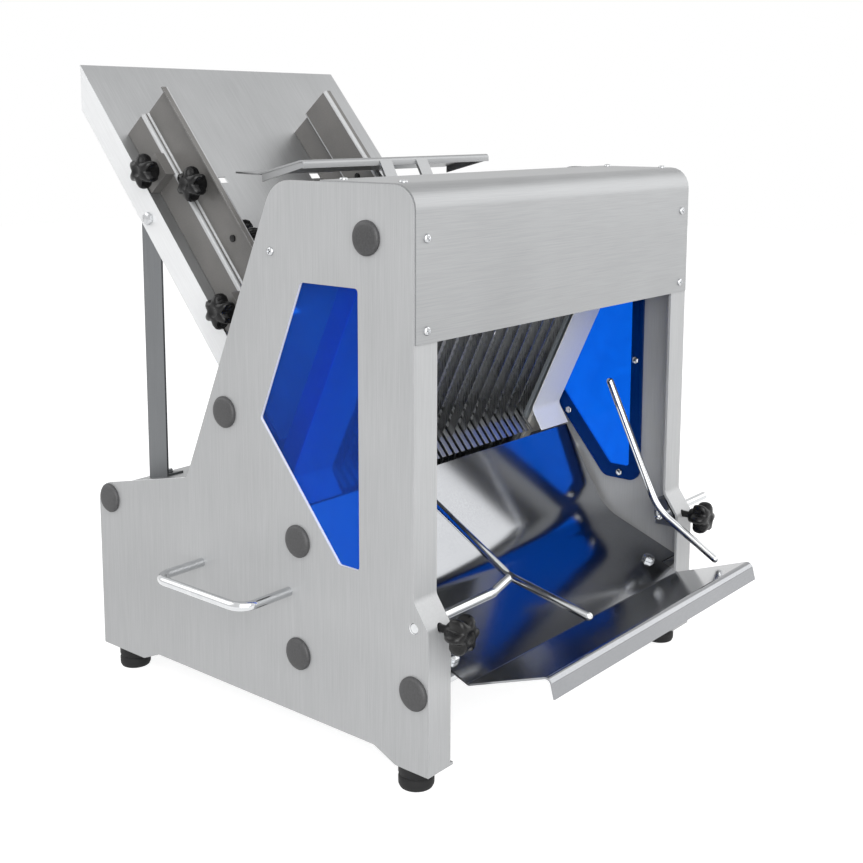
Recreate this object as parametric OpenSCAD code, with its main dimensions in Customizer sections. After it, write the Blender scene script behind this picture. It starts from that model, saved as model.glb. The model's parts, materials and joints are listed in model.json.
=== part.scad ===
// Table-top bread slicer: a sloping hopper feeds a loaf by its own weight through two
// blade frames that reciprocate in opposite directions, onto a slide and a catch tray.
// Lengths are millimetres. X runs to the right seen from the catch tray, Y to the hopper,
// Z up. Profiles of folded sheets are drawn as (y, z) from the front plane and the floor.

/* [Cabinet] */
// Width over the two side panels
cabinet_w = 510; // [506:1:540]
// Height of the side panels above the floor
cabinet_h = 590; // [584:1:620]
// Depth of the side panels behind the front plane
cabinet_d = 490; // [480:1:530]
// Thickness of the side panel sheet
panel_t = 3; // [2:0.5:4]
// Width of the flange folded inward along the front edge
flange_w = 34; // [30:1:36]
// How far the lower front stands ahead of the front plane
toe_step = 18; // [14:1:20]
// Height where the front step begins
step_low_z = 170; // [166:1:174]
// Rise of the sloping front step
step_rise = 26; // [22:1:32]
// Height of the rear edge of the base
base_rear_h = 222; // [212:1:228]
// Height of the ridge where the base meets the sloping rear edge
base_ridge_h = 258; // [250:1:266]
// Depth of that ridge
ridge_y = 329; // [322:1:336]
// Depth of the top of the sloping rear edge
slant_top_y = 185; // [175:1:195]
// Rise of the panel's lower edge between its two legs
leg_rise = 12; // [8:1:16]
// Length of the front leg
front_leg_l = 42; // [38:1:50]
// Length of the rear leg
rear_leg_l = 75; // [60:1:90]
// Length of the curve from a leg up to the lower edge
leg_curve_l = 28; // [20:1:34]
// Corner radius at the rear of the base
rear_corner_r = 25; // [15:1:30]
// Corner radius at the top rear
top_rear_r = 35; // [20:1:40]
// Corner radius at the top front
top_front_r = 23; // [18:1:28]
// Small bend radius of the panel outline
soft_r = 10; // [6:1:12]

/* [Feet] */
// Height of a rubber foot
foot_h = 24; // [20:1:32]
// Diameter of a rubber foot
foot_d = 36; // [30:1:40]
// Depth of the front feet
front_foot_y = 12; // [4:1:14]
// Depth of the rear feet
rear_foot_y = 455; // [440:1:460]

/* [Windows] */
// Depth of the front edge of a window
window_front_y = 70; // [66:1:74]
// Height of the lower edge of a window
window_low_z = 211; // [207:1:214]
// Height of the upper edge of a window
window_top_z = 490; // [480:1:492]
// Length of the lower edge of a window
window_low_l = 27; // [20:1:34]
// Length of the upper edge of a window
window_top_l = 77; // [68:1:82]
// Depth of the rear point of a window
window_point_y = 208; // [200:1:214]
// Height of the rear point of a window
window_point_z = 344; // [338:1:352]
// Thickness of the clear pane
pane_t = 4; // [3:0.5:5]
// How far the pane laps the panel round the window
pane_lap = 17; // [14:1:18]
// Width across the flats of the nuts that hold a pane
pane_nut_w = 8; // [7:1:9]

/* [Caps] */
// Diameter of the caps over the tie bar bolts
cap_d = 34; // [30:1:34]
// How far a cap stands out of the panel
cap_h = 5; // [3:0.5:7]

/* [Handles] */
// Thickness of a handle bar
handle_bar_d = 10; // [9:0.5:14]
// Distance between the two ends of a handle
handle_span = 137; // [120:1:150]
// Distance from the panel to the middle of the grip
handle_reach = 65; // [55:1:75]
// Bend radius of a handle
handle_bend_r = 18; // [14:1:24]
// Height of a handle
handle_z = 166; // [160:1:172]
// Depth of a handle's middle
handle_y = 238; // [234:1:246]

/* [Hood] */
// Height of the lower edge of the hood
hood_low_z = 443; // [430:1:452]
// Length of the hood's top
hood_top_l = 120; // [112:1:124]
// Thickness of the hood sheet
hood_t = 1.5; // [1:0.5:2]
// Depth of the hood's folded edges
hood_lip_l = 12; // [8:1:14]

/* [Hopper] */
// Angle of the chute from the floor
chute_angle = 50; // [49:0.5:51]
// Width of the chute
chute_w = 428; // [424:1:436]
// Depth of the chute's top edge
hopper_y = 555; // [553:1:558]
// Height of the chute's top edge
hopper_z = 713; // [712:1:716]
// Thickness of the chute sheet
chute_t = 2; // [1.5:0.5:2]
// Depth of the chute's side flanges
chute_flange_h = 34; // [30:1:38]
// Length of the chute's side flanges
chute_flange_l = 430; // [410:1:435]
// Width of a strut under the chute
strut_w = 33; // [28:1:36]
// Depth of the struts' middle
strut_y = 433; // [424:1:438]

/* [Loaf guides] */
// Height of a loaf guide
guide_h = 82; // [80:1:88]
// Height of the fold in a loaf guide
guide_fold_h = 37; // [36:1:39]
// Length of a loaf guide along the chute
guide_l = 284; // [278:1:290]
// Distance from the chute's top edge to a loaf guide
guide_start = 106; // [100:1:112]
// Distance of the left loaf guide from the middle
left_guide_x = 199; // [197:1:200]
// Distance of the right loaf guide from the middle
right_guide_x = 75; // [70:1:100]
// Step from the lower wall of a guide to its upper wall
guide_step = 8; // [6:1:9]

/* [Pusher] */
// Depth of the pusher's pivot
pusher_y = 189; // [186:1:192]
// Height of the pusher's pivot
pusher_z = 518; // [515:1:521]
// Width of the pusher plate
pusher_w = 328; // [300:1:340]
// Thickness of the pivot rod
pusher_rod_d = 10; // [8:1:12]

/* [Blades] */
// Number of blades in both frames
blade_count = 31; // [27:2:31]
// Distance between neighbouring blades, the slice thickness
blade_pitch = 12; // [11:0.5:12]
// Width of a blade
blade_w = 12; // [10:1:14]
// Thickness of a blade
blade_t = 0.8; // [0.6:0.1:1.2]
// Lean of the blades toward the front
blade_lean = 25; // [24.5:0.5:25.5]
// Half of the blade stroke, the throw of the crank
crank_throw = 12; // [11:0.5:13]
// Width of the slots that the blades run through
comb_slot_w = 5; // [4:0.5:6]

/* [Drive] */
// Diameter of the crankshaft
crank_d = 20; // [16:1:22]
// Diameter of the crank webs
crank_web_d = 52; // [48:1:56]
// Diameter of the crank pins
crank_pin_d = 12; // [10:1:14]
// Diameter of the crank pulley
crank_pulley_d = 90; // [80:1:94]
// Diameter of the motor pulley
motor_pulley_d = 45; // [40:1:56]
// Diameter of the motor
motor_d = 110; // [100:1:120]
// Length of the motor
motor_l = 180; // [150:1:190]

/* [Discharge] */
// Angle of the steep part of the slide
slide_steep_angle = 59; // [58:0.5:60]
// Angle of the flat part of the slide
slide_flat_angle = 20.5; // [19:0.5:22]
// Width of the slide
slide_w = 490; // [480:1:492]
// Width of the catch tray
tray_w = 412; // [400:1:414]
// How far the catch tray reaches ahead of the front plane
tray_reach = 122; // [112:1:132]
// Height of the catch tray's front edge
tray_front_z = 139; // [134:1:143]
// Depth of the catch tray's front lip
tray_lip_h = 19; // [14:1:22]

/* [Slice guides] */
// Diameter of a slice guide's stem
stem_d = 10; // [9:0.5:11]
// Length of the left stem
left_stem_l = 115; // [112:1:118]
// Length of the right stem
right_stem_l = 105; // [100:1:105]
// Diameter of a bent slice guide
slice_rod_d = 9; // [8:0.5:9]
// Length of a bent guide above its arm
slice_rod_up_l = 166; // [150:1:170]
// Length of the left guide below its arm
left_down_l = 98; // [88:1:100]
// Length of the right guide below its arm
right_down_l = 90; // [80:1:92]
// How far an arm lifts its guide off the stem's axis
slice_lift = 9; // [8:0.5:10]
// Distance of the left slice guide from the middle
left_slice_x = 100; // [96:1:104]
// Distance of the right slice guide from the middle
right_slice_x = 204; // [200:0.5:204.5]
// Rise of the left guide's upper leg
left_slice_rise = 30; // [28:1:33]
// Rise of the right guide's upper leg
right_slice_rise = 64.5; // [62:0.5:66]
// Bend of the left guide
left_slice_bend = 19; // [17:0.5:22]
// Bend of the right guide
right_slice_bend = 34.5; // [34:0.5:37]

/* [Star knobs] */
// Diameter over the lobes of a star knob
knob_d = 40; // [36:1:41]
// Height of a star knob's head
knob_h = 18; // [14:1:20]
// Number of lobes
knob_lobes = 6; // [5:1:7]
// Diameter of a star knob's stud
knob_stud_d = 8; // [6:1:8]

/* [Hidden] */
$fn = 48;
arc_steps = 6;
hex_sides = 6;
// Running clearance of a shaft in its hole, on the radius
running_fit = 0.05;
// Gap between pieces that lie against each other without touching
seat_gap = 0.3;
// Gap between pieces that slide past each other
slide_gap = 0.5;
// How far a cutting shape runs past the face it cuts
overrun = 1;
half_share = 0.5;

panel_out = cabinet_w * half_share;
panel_in = panel_out - panel_t;
inner_half = panel_in - seat_gap;
edge_low_z = foot_h + leg_rise;
step_high_z = step_low_z + step_rise;
slant_run = (ridge_y - slant_top_y) / (cabinet_h - base_ridge_h);
ridge_slope = (base_ridge_h - base_rear_h) / (cabinet_d - ridge_y);

// Places of the caps and tie bars, as shares of the cabinet's depth and height
cap_shares = [[0.1184, 0.9136], [0.5367, 0.5797], [0.3163, 0.378], [0.3184, 0.173],
    [0, 0.178], [0.957, 0.3525]];
chute_tie = 1;
slide_tie = 4;
cap_places = [for (c = cap_shares) [c.x * cabinet_d, c.y * cabinet_h]];
tie_d = 14;
tie_bolt_d = 10;
tie_head_w = 17;
tie_head_h = 3;
cap_hollow_d = 26;
cap_rim_h = 2;
cap_wall_t = 1.2;

window_pts = [[window_front_y, window_low_z],
    [window_front_y + window_low_l, window_low_z],
    [window_point_y, window_point_z],
    [window_front_y + window_top_l, window_top_z],
    [window_front_y, window_top_z]];
window_corner_r = 4;
pane_point_r = 20;
pane_foot_r = 15;
pane_stud_d = 5;
pane_nut_h = 4;

chute_half = chute_w * half_share;
chute_dir = [-cos(chute_angle), -sin(chute_angle)];
chute_normal = [-sin(chute_angle), cos(chute_angle)];
chute_top = [hopper_y, hopper_z];

// The blade plane: its middle meets the floor of the chute between the two frames
blade_cross_s = 554;
blade_middle = chute_top + chute_dir * blade_cross_s;
blade_up = [-sin(blade_lean), cos(blade_lean)];
blade_half = (blade_count - 1) * half_share * blade_pitch;
blade_gap = 8;
bar_w = 14;
bar_h = 22;
upright_w = 16;
upright_in = blade_half + blade_gap;
upright_out = upright_in + upright_w;
upper_bar_t = 248;
lower_bar_t = -98;
rail_back_t = 6;
rail_rib_w = 5;
rail_hold = 10;
rail_in = upright_out + slide_gap;
rail_out = rail_in + rail_back_t;
bar_margin = 7;
bar_reach = bar_h * half_share + crank_throw + bar_margin;
rail_low_t = lower_bar_t + bar_reach;
rail_high_t = upper_bar_t - bar_reach;
rail_half_m = crank_throw + bar_w * half_share + slide_gap + rail_rib_w;
rail_head_t = upper_bar_t + bar_h + bar_margin;
bracket_h = 22;
bracket_half_m = 18;
bracket_low_t = rail_low_t + bracket_h;
bracket_high_t = rail_head_t - bracket_h;

// The crank: each end has an inner web, a pin, an outer web and a second pin
crank_t = -218;
wrist_t = -152;
lug_t = 8;
web_t = 7;
rod_t = 10;
rod_eye_d = 24;
rod_waist_w = 14;
side_play = 0.5;
crank_place = blade_middle + blade_up * crank_t;
front_lug_x = upright_out + side_play;
front_rod_x = front_lug_x + lug_t + side_play;
outer_web_x = front_rod_x + rod_t + side_play;
rear_rod_x = outer_web_x + web_t + side_play;
crank_end_x = rear_rod_x + rod_t + side_play;
pulley_x = -95;
pulley_w = 16;
belt_w = 10;
belt_h = 7;
belt_gap = 0.4;
belt_sink = 1;
motor_y = 395;
motor_z = 118;
motor_start_x = -62;
motor_shaft_d = 16;
motor_place = [motor_y, motor_z];
bearing_x = 170;
bearing_w = 20;
bearing_d = 46;

base_t = 2.5;
base_lift = 2;
base_floor_z = edge_low_z + base_lift;
base_top_z = base_floor_z + base_t;
base_lip_h = 30;
base_front_y = 110;
cover_t = 1.5;
cover_inset = 4;
cover_rear_y = cabinet_d - cover_inset;
cover_top_z = 322;

slide_t = 1.5;
slide_bend_r = 60;
slide_lift = 0.3;
comb_t = 2;
comb_lap = 20;
comb_l = 72;
comb_lead = 6;
comb_start_s = blade_cross_s - rail_half_m - comb_lead;
comb_end_s = comb_start_s + comb_l;
comb_side_gap = 2;
comb_half = upright_in - comb_side_gap;
comb_solid_l = 4;
chute_end_s = comb_start_s;

tie_top = cap_places[slide_tie];
slide_flat_run = tan(slide_flat_angle);
slide_flat_z = tie_top.y
    + (tie_d * half_share + slide_lift + slide_t) / cos(slide_flat_angle)
    - tie_top.x * slide_flat_run;
slide_top_drop = 3;
slide_top_gap = 11;
comb_end = chute_top + chute_dir * comb_end_s;
slide_top = [comb_end.x - slide_top_gap, comb_end.y - slide_top_drop];
slide_steep_run = tan(slide_steep_angle);
slide_bend_y = (slide_flat_z - slide_top.y + slide_top.x * slide_steep_run)
    / (slide_steep_run - slide_flat_run);
slide_bend = [slide_bend_y, slide_flat_z + slide_bend_y * slide_flat_run];
slide_end_y = -4;
tray_t = 2;
tray_back_y = 14;
tray_crease_y = -28;
tray_bend_r = 5;
outline_rear_y = hopper_y + chute_t * sin(chute_angle);
outline_front_y = -tray_reach - tray_bend_r
    - tray_t * tray_lip_h / norm([tray_bend_r, tray_lip_h]);
datum_y = (outline_rear_y + outline_front_y) * half_share;

stem_y = 0;
stem_z = step_low_z;
block_w = 28;
block_half_h = 16;
block_back_y = 14;
block_gap = 0.4;
block_in = panel_in - block_w;
stem_collar_l = 5;
left_arm_run = 34;
right_arm_run = 7;
spigot_d = 5;
spigot_l = 8;

knob_hub_h = 8;
knob_hub_d = 18;
knob_core_share = 0.72;
knob_lobe_share = 0.3;
knob_dimple_share = 0.3;
knob_dimple_h = 2;
clamp_knob_shift = 2;
clamp_knob_x = panel_out - flange_w * half_share - clamp_knob_shift;
clamp_knob_gap = 10;

guide_t = 2;
guide_hem = 8;
guide_lift = 0.5;
shoe_w = 13;
shoe_l = 30;
shoe_h = 36;
tongue_l = 8;
tongue_w = 7;
shoe_foot_l = 22;
shoe_foot_h = 4;
shoe_hole_h = 23;
shoe_shares = [0.255, 0.935];
shoe_places = [for (f = shoe_shares) guide_start + f * guide_l];
upper_knob_h = 58;
outer_knob_share = 0.42;
inner_knob_share = 0.69;
outer_knob_s = guide_start + outer_knob_share * guide_l;
inner_knob_s = guide_start + inner_knob_share * guide_l;
left_guide_travel = 110;
right_guide_in = 20;
slot_end_gap = 1;

strut_t = 2.5;
strut_leg = 22;
strut_x = chute_half - chute_t - strut_t;
strut_top_gap = 16;

pusher_front_y = 232;
pusher_low_z = 597;
pusher_high_z = 607;
pusher_mid_y = 304;
pusher_mid_z = 590;
pusher_end_y = 340;
pusher_end_z = 591;
pusher_t = 2;
pusher_side_h = 9;
pusher_strap_x = 32;
pusher_strap_w = 20;
pusher_strap_t = 3;
pusher_hub_d = 18;

guard_lap = 4;
guard_in = upright_in - guard_lap;
guard_edge_gap = 8;
guard_out = panel_in - guard_edge_gap;
guard_t = 1.5;
guard_low_t = 4;
guard_top_lap = 12;
guard_high_t = rail_high_t + guard_top_lap;
guard_foot_l = 30;
guard_turn = 56;

screw_head_d = 9;
screw_head_h = 2.5;
screw_d = 5;
screw_l = 7;
bolt_head_w = 13;
bolt_head_h = 5;
bolt_d = 8;
bolt_l = 5;
hood_screw_x = panel_out - flange_w * half_share;
hood_screw_low = 12;
hood_screw_drop = 49;
hood_screw_z = [hood_low_z + hood_screw_low, cabinet_h - hood_screw_drop];
hood_top_shares = [0.225, 0.86];
hood_top_y = [for (f = hood_top_shares) f * hood_top_l];

button_y = [198, 236];
button_z = 100;
button_d = 20;
button_out = 9;
button_l = 14;
button_travel = 3;
bezel_d = 30;
bezel_h = 4;
switch_w = 72;
switch_h = 36;
switch_depth = 22;
button_fit = 0.3;
gland_x = 195;
gland_z = 78;
gland_d = 20;
gland_l = 18;
gland_hex_w = 26;
gland_hex_l = 8;
gland_bore_d = 9;

// Geometry helpers

function unit(v) = v / norm(v);
function left_of(v) = [-v.y, v.x];
function backward(p) = [for (i = [len(p) - 1:-1:0]) p[i]];

// Points of the arc that rounds the corner b between a and c
function corner_arc(a, b, c, r) = r == 0 ? [b] : let (
    u = unit(a - b),
    v = unit(c - b),
    half = acos(u * v) * half_share,
    from = b + u * r / tan(half),
    to = b + v * r / tan(half),
    middle = b + unit(u + v) * r / sin(half),
    start = atan2(from.y - middle.y, from.x - middle.x),
    end = atan2(to.y - middle.y, to.x - middle.x),
    sweep = (end - start + 540) % 360 - 180)
    [for (i = [0:arc_steps]) let (turn = start + sweep * i / arc_steps)
        middle + r * [cos(turn), sin(turn)]];

// A closed outline with a radius at each corner
function rounded_loop(p, r) = [for (i = [0:len(p) - 1])
    each corner_arc(p[(i + len(p) - 1) % len(p)], p[i], p[(i + 1) % len(p)], r[i])];

// An open line with a radius at each inner corner
function rounded_line(p, r) = concat([p[0]],
    [for (i = [1:len(p) - 2]) each corner_arc(p[i - 1], p[i], p[i + 1], r[i - 1])],
    [p[len(p) - 1]]);

function mitre(p, u, v, d) = let (n = unit(left_of(u) + left_of(v)))
    p + n * d / (n * left_of(u));

// The same line moved to its left by d
function beside(p, d) = [for (i = [0:len(p) - 1]) let (
    u = unit(i > 0 ? p[i] - p[i - 1] : p[1] - p[0]),
    v = unit(i < len(p) - 1 ? p[i + 1] - p[i] : p[i] - p[i - 1]))
    mitre(p[i], u, v, d)];

// A closed outline moved to its left by d
function loop_beside(p, d) = [for (i = [0:len(p) - 1]) let (
    u = unit(p[i] - p[(i + len(p) - 1) % len(p)]),
    v = unit(p[(i + 1) % len(p)] - p[i]))
    mitre(p[i], u, v, d)];

module seat() {
    translate([0, -datum_y, 0])
        children();
}

// Extrudes a (y, z) drawing along X
module along_x(from, to) {
    translate([from, 0, 0])
        rotate([90, 0, 90])
            linear_extrude(to - from)
                children();
}

// A folded sheet: its line in (y, z), its thickness to the left of the line
module folded_sheet(line, t, from, to) {
    along_x(from, to)
        polygon(concat(line, backward(beside(line, t))));
}

module x_bar(from, to, d) {
    translate([from, 0, 0])
        rotate([0, 90, 0])
            cylinder(h = to - from, d = d);
}

module at(place) {
    translate([0, place.x, place.y])
        children();
}

module both_sides() {
    children();
    mirror([1, 0, 0])
        children();
}

// The chute's space: Y up the slope, Z out of its floor
module chute_space() {
    at(chute_top)
        rotate([chute_angle, 0, 0])
            children();
}

// The blade frames' space: Z up along the blades, Y to the hopper
module blade_space() {
    at(blade_middle)
        rotate([blade_lean, 0, 0])
            children();
}

module star_knob(stud_l) {
    head_z = knob_hub_h;
    lobe_d = knob_d * knob_lobe_share;
    difference() {
        union() {
            cylinder(h = knob_hub_h + overrun, d = knob_hub_d);
            translate([0, 0, head_z])
                linear_extrude(knob_h) {
                    circle(d = knob_d * knob_core_share);
                    for (i = [0:knob_lobes - 1])
                        rotate(360 * i / knob_lobes)
                            translate([(knob_d - lobe_d) * half_share, 0])
                                circle(d = lobe_d);
                }
            translate([0, 0, -stud_l])
                cylinder(h = stud_l + overrun, d = knob_stud_d);
        }
        translate([0, 0, head_z + knob_h - knob_dimple_h])
            cylinder(h = knob_dimple_h + overrun, d = knob_d * knob_dimple_share);
    }
}

module pan_screw_head() {
    cylinder(h = screw_head_h, d = screw_head_d);
}

module pan_screw() {
    pan_screw_head();
    translate([0, 0, -screw_l])
        cylinder(h = screw_l + overrun, d = screw_d);
}

// Cabinet

panel_pts = [[-toe_step, foot_h], [front_leg_l - toe_step, foot_h],
    [front_leg_l - toe_step + leg_curve_l, edge_low_z],
    [cabinet_d - rear_leg_l - leg_curve_l, edge_low_z],
    [cabinet_d - rear_leg_l, foot_h], [cabinet_d, foot_h],
    [cabinet_d, base_rear_h], [ridge_y, base_ridge_h], [slant_top_y, cabinet_h],
    [0, cabinet_h], [0, step_high_z], [-toe_step, step_low_z]];
panel_radii = [0, soft_r, soft_r, soft_r, soft_r, 0, rear_corner_r, soft_r, top_rear_r,
    top_front_r, soft_r, soft_r];
// Line of the folded front edge, from the foot up and over the top
front_edge = rounded_line([[-toe_step, foot_h], [-toe_step, step_low_z], [0, step_high_z],
    [0, cabinet_h], [hood_top_l - hood_lip_l, cabinet_h]], [soft_r, soft_r, top_front_r]);

module side_panel() {
    color("silver")
        difference() {
            union() {
                along_x(-panel_out, -panel_in)
                    polygon(rounded_loop(panel_pts, panel_radii));
                folded_sheet(front_edge, -panel_t, -panel_in - overrun, -panel_out + flange_w);
                translate([-panel_in - overrun, -toe_step, foot_h])
                    cube([foot_d, front_leg_l, panel_t]);
                translate([-panel_in - overrun, cabinet_d - rear_leg_l, foot_h])
                    cube([foot_d, rear_leg_l, panel_t]);
            }
            along_x(-panel_out - overrun, -panel_in + overrun)
                polygon(rounded_loop(window_pts, [for (p = window_pts) window_corner_r]));
            for (p = cap_places)
                at(p)
                    x_bar(-panel_out - overrun, -panel_in + overrun, tie_bolt_d + 2 * seat_gap);
            at([stem_y, stem_z])
                x_bar(-panel_out - overrun, -panel_in + overrun, stem_d + 2 * slide_gap);
            at([pusher_y, pusher_z])
                x_bar(-panel_out - overrun, -panel_in + overrun, screw_d);
            translate([-clamp_knob_x, -toe_step - overrun, stem_z])
                rotate([-90, 0, 0])
                    cylinder(h = toe_step, d = knob_stud_d + 2 * slide_gap);
            at_hood_screws()
                screw_hole();
        }
}

module left_side_panel() {
    seat()
        side_panel();
}

module right_side_panel() {
    color("silver")
        seat()
            difference() {
                mirror([1, 0, 0])
                    side_panel();
                for (y = button_y)
                    at([y, button_z])
                        x_bar(panel_in - overrun, panel_out + overrun,
                            button_d + 2 * button_fit);
            }
}

pane_pts = loop_beside(window_pts, -pane_lap);
pane_radii = [pane_foot_r, pane_foot_r, pane_point_r, pane_foot_r, pane_foot_r];
stud_loop = loop_beside(window_pts, -pane_lap * half_share);
stud_places = [for (i = [0:len(stud_loop) - 1])
    (stud_loop[i] + stud_loop[(i + 1) % len(stud_loop)]) * half_share];

module window_pane() {
    color("royalblue")
        difference() {
            along_x(-panel_in, -panel_in + pane_t)
                polygon(rounded_loop(pane_pts, pane_radii));
            for (p = stud_places)
                at(p)
                    x_bar(-panel_out, -panel_in + pane_t + overrun, pane_stud_d + slide_gap);
        }
}

module left_window_pane() {
    seat()
        window_pane();
}

module right_window_pane() {
    seat()
        mirror([1, 0, 0])
            window_pane();
}

module pane_nuts() {
    color("gainsboro")
        seat()
            both_sides()
                for (p = stud_places)
                    at(p) {
                        x_bar(-panel_in, -panel_in + pane_t + pane_nut_h, pane_stud_d);
                        translate([-panel_in + pane_t, 0, 0])
                            rotate([0, 90, 0])
                                cylinder(h = pane_nut_h, d = pane_nut_w / cos(180 / hex_sides),
                                    $fn = hex_sides);
                    }
}

module panel_caps() {
    color("dimgray")
        seat()
            both_sides()
                for (p = cap_places)
                    at(p)
                        translate([-panel_out, 0, 0])
                            rotate([0, -90, 0])
                                rotate_extrude()
                                    polygon([[0, cap_h - cap_wall_t],
                                        [cap_hollow_d * half_share - cap_wall_t,
                                            cap_h - cap_wall_t],
                                        [cap_hollow_d * half_share, 0],
                                        [cap_d * half_share, 0],
                                        [cap_d * half_share, cap_rim_h],
                                        [cap_hollow_d * half_share, cap_h], [0, cap_h]]);
}

// The bar under the chute is as thick as the space between its bolt and the chute
chute_tie_d = 2 * ((chute_top - cap_places[chute_tie]) * chute_normal - chute_t - seat_gap);

module tie_bars() {
    color("darkgray")
        seat()
            for (i = [0:len(cap_places) - 1])
                at(cap_places[i]) {
                    x_bar(-panel_in, panel_in, i == chute_tie ? chute_tie_d : tie_d);
                    x_bar(-panel_out, panel_out, tie_bolt_d);
                    for (x = [-panel_out - tie_head_h, panel_out])
                        translate([x, 0, 0])
                            rotate([0, 90, 0])
                                cylinder(h = tie_head_h, d = tie_head_w / cos(180 / hex_sides),
                                    $fn = hex_sides);
                }
}

hood_line = rounded_line([[-hood_t, hood_low_z], [-hood_t, cabinet_h + hood_t],
    [hood_top_l, cabinet_h + hood_t]], [top_front_r + hood_t - seat_gap]);

module at_hood_screws() {
    both_sides() {
        for (z = hood_screw_z)
            translate([-hood_screw_x, -hood_t, z])
                rotate([90, 0, 0])
                    children();
        for (y = hood_top_y)
            translate([-hood_screw_x, y, cabinet_h + hood_t])
                children();
    }
}

module screw_hole() {
    translate([0, 0, -screw_l])
        cylinder(h = screw_l + overrun, d = screw_d + 2 * running_fit);
}

module hood() {
    lip_half = panel_out - flange_w - seat_gap;
    color("silver")
        seat()
            difference() {
                union() {
                    folded_sheet(hood_line, -hood_t, -panel_out + hood_t, panel_out - hood_t);
                    translate([-lip_half, -hood_t, hood_low_z])
                        cube([lip_half * 2, hood_lip_l, hood_t]);
                    translate([-lip_half, hood_top_l - hood_t, cabinet_h - hood_lip_l])
                        cube([lip_half * 2, hood_t, hood_lip_l + hood_t]);
                }
                at_hood_screws()
                    screw_hole();
            }
}

module hood_screws() {
    color("gainsboro")
        seat() {
            at_hood_screws()
                pan_screw();
            both_sides()
                at([pusher_y, pusher_z])
                    translate([-panel_out, 0, 0])
                        rotate([0, -90, 0])
                            pan_screw_head();
        }
}

module base_plate() {
    line = rounded_line([[base_front_y, base_floor_z + base_lip_h], [base_front_y, base_floor_z],
        [cover_rear_y - cover_t, base_floor_z],
        [cover_rear_y - cover_t, base_floor_z + base_lip_h]], [base_t * 2, base_t * 2]);
    color("gray")
        seat()
            folded_sheet(line, base_t, -inner_half, inner_half);
}

cover_ridge_z = base_ridge_h - cover_inset;
cover_line = rounded_line([[cover_rear_y, base_floor_z],
    [cover_rear_y, base_rear_h - cover_inset],
    [ridge_y - cover_inset, cover_ridge_z],
    [ridge_y - cover_inset - (cover_top_z - cover_ridge_z) * slant_run, cover_top_z]],
    [rear_corner_r - cover_inset, soft_r]);

module rear_cover() {
    color("silver")
        seat()
            difference() {
                folded_sheet(cover_line, cover_t, -inner_half, inner_half);
                translate([gland_x, cover_rear_y + overrun, gland_z])
                    rotate([90, 0, 0])
                        cylinder(h = cover_t + 2 * overrun, d = gland_d * half_share);
                at_hex_bolts()
                    bolt_hole();
            }
}

module feet() {
    color("black")
        seat()
            both_sides()
                for (y = [front_foot_y, rear_foot_y])
                    translate([-panel_out + foot_d * half_share, y, 0])
                        cylinder(h = foot_h, d = foot_d);
}

module handle() {
    leg = handle_reach - handle_bend_r;
    color("gainsboro")
        translate([-panel_out, handle_y, handle_z])
            for (way = [0, 1])
                mirror([0, way, 0]) {
                    translate([0, handle_span * half_share, 0])
                        x_bar(-leg, 0, handle_bar_d);
                    translate([-leg, handle_span * half_share - handle_bend_r, 0])
                        rotate([0, 0, 90])
                            rotate_extrude(angle = 90)
                                translate([handle_bend_r, 0])
                                    circle(d = handle_bar_d);
                    translate([-handle_reach, 0, 0])
                        rotate([-90, 0, 0])
                            cylinder(h = handle_span * half_share - handle_bend_r,
                                d = handle_bar_d);
                }
}

module left_handle() {
    seat()
        handle();
}

module right_handle() {
    seat()
        mirror([1, 0, 0])
            handle();
}

// Hopper

module shoe_slot(from, to, s) {
    translate([from, -s - tongue_l * half_share - slide_gap, -chute_t - overrun])
        cube([to - from, tongue_l + 2 * slide_gap, chute_t + 2 * overrun]);
}

slot_far = -left_guide_x - shoe_w + slot_end_gap;
tongue_gap = (shoe_w - tongue_w) * half_share;

// The chute's floor with the slots for the shoes, and its two flanges
module chute_sheet() {
    chute_space() {
        difference() {
            translate([-chute_half, -chute_end_s, -chute_t])
                cube([chute_w, chute_end_s, chute_t]);
            for (s = shoe_places) {
                shoe_slot(slot_far, -left_guide_x + left_guide_travel, s);
                shoe_slot(right_guide_x - right_guide_in, -slot_far, s);
            }
        }
        both_sides()
            difference() {
                translate([-chute_half, -chute_flange_l, -chute_flange_h])
                    cube([chute_t, chute_flange_l + chute_flange_h * 2, chute_flange_h]);
                rotate([-chute_angle, 0, 0])
                    translate([-chute_half - overrun, 0, -cabinet_h])
                        cube([chute_t + 2 * overrun, cabinet_d, cabinet_h * 2]);
            }
    }
}

module hopper_chute() {
    color("silver")
        seat()
            difference() {
                chute_sheet();
                at_hex_bolts()
                    bolt_hole();
            }
}

module comb_plate() {
    color("silver")
        seat()
            chute_space()
                difference() {
                    translate([-comb_half, -comb_end_s, -chute_t - comb_t])
                        cube([comb_half * 2, comb_l + comb_lap, comb_t]);
                    for (i = [0:blade_count - 1])
                        translate([i * blade_pitch - blade_half - comb_slot_w * half_share,
                            -comb_end_s - overrun, -chute_t - comb_t - overrun])
                            cube([comb_slot_w, comb_l - comb_solid_l, comb_t + 2 * overrun]);
                }
}

strut_foot_z = base_ridge_h - cover_inset - (strut_y - ridge_y + cover_inset) * ridge_slope;

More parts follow.
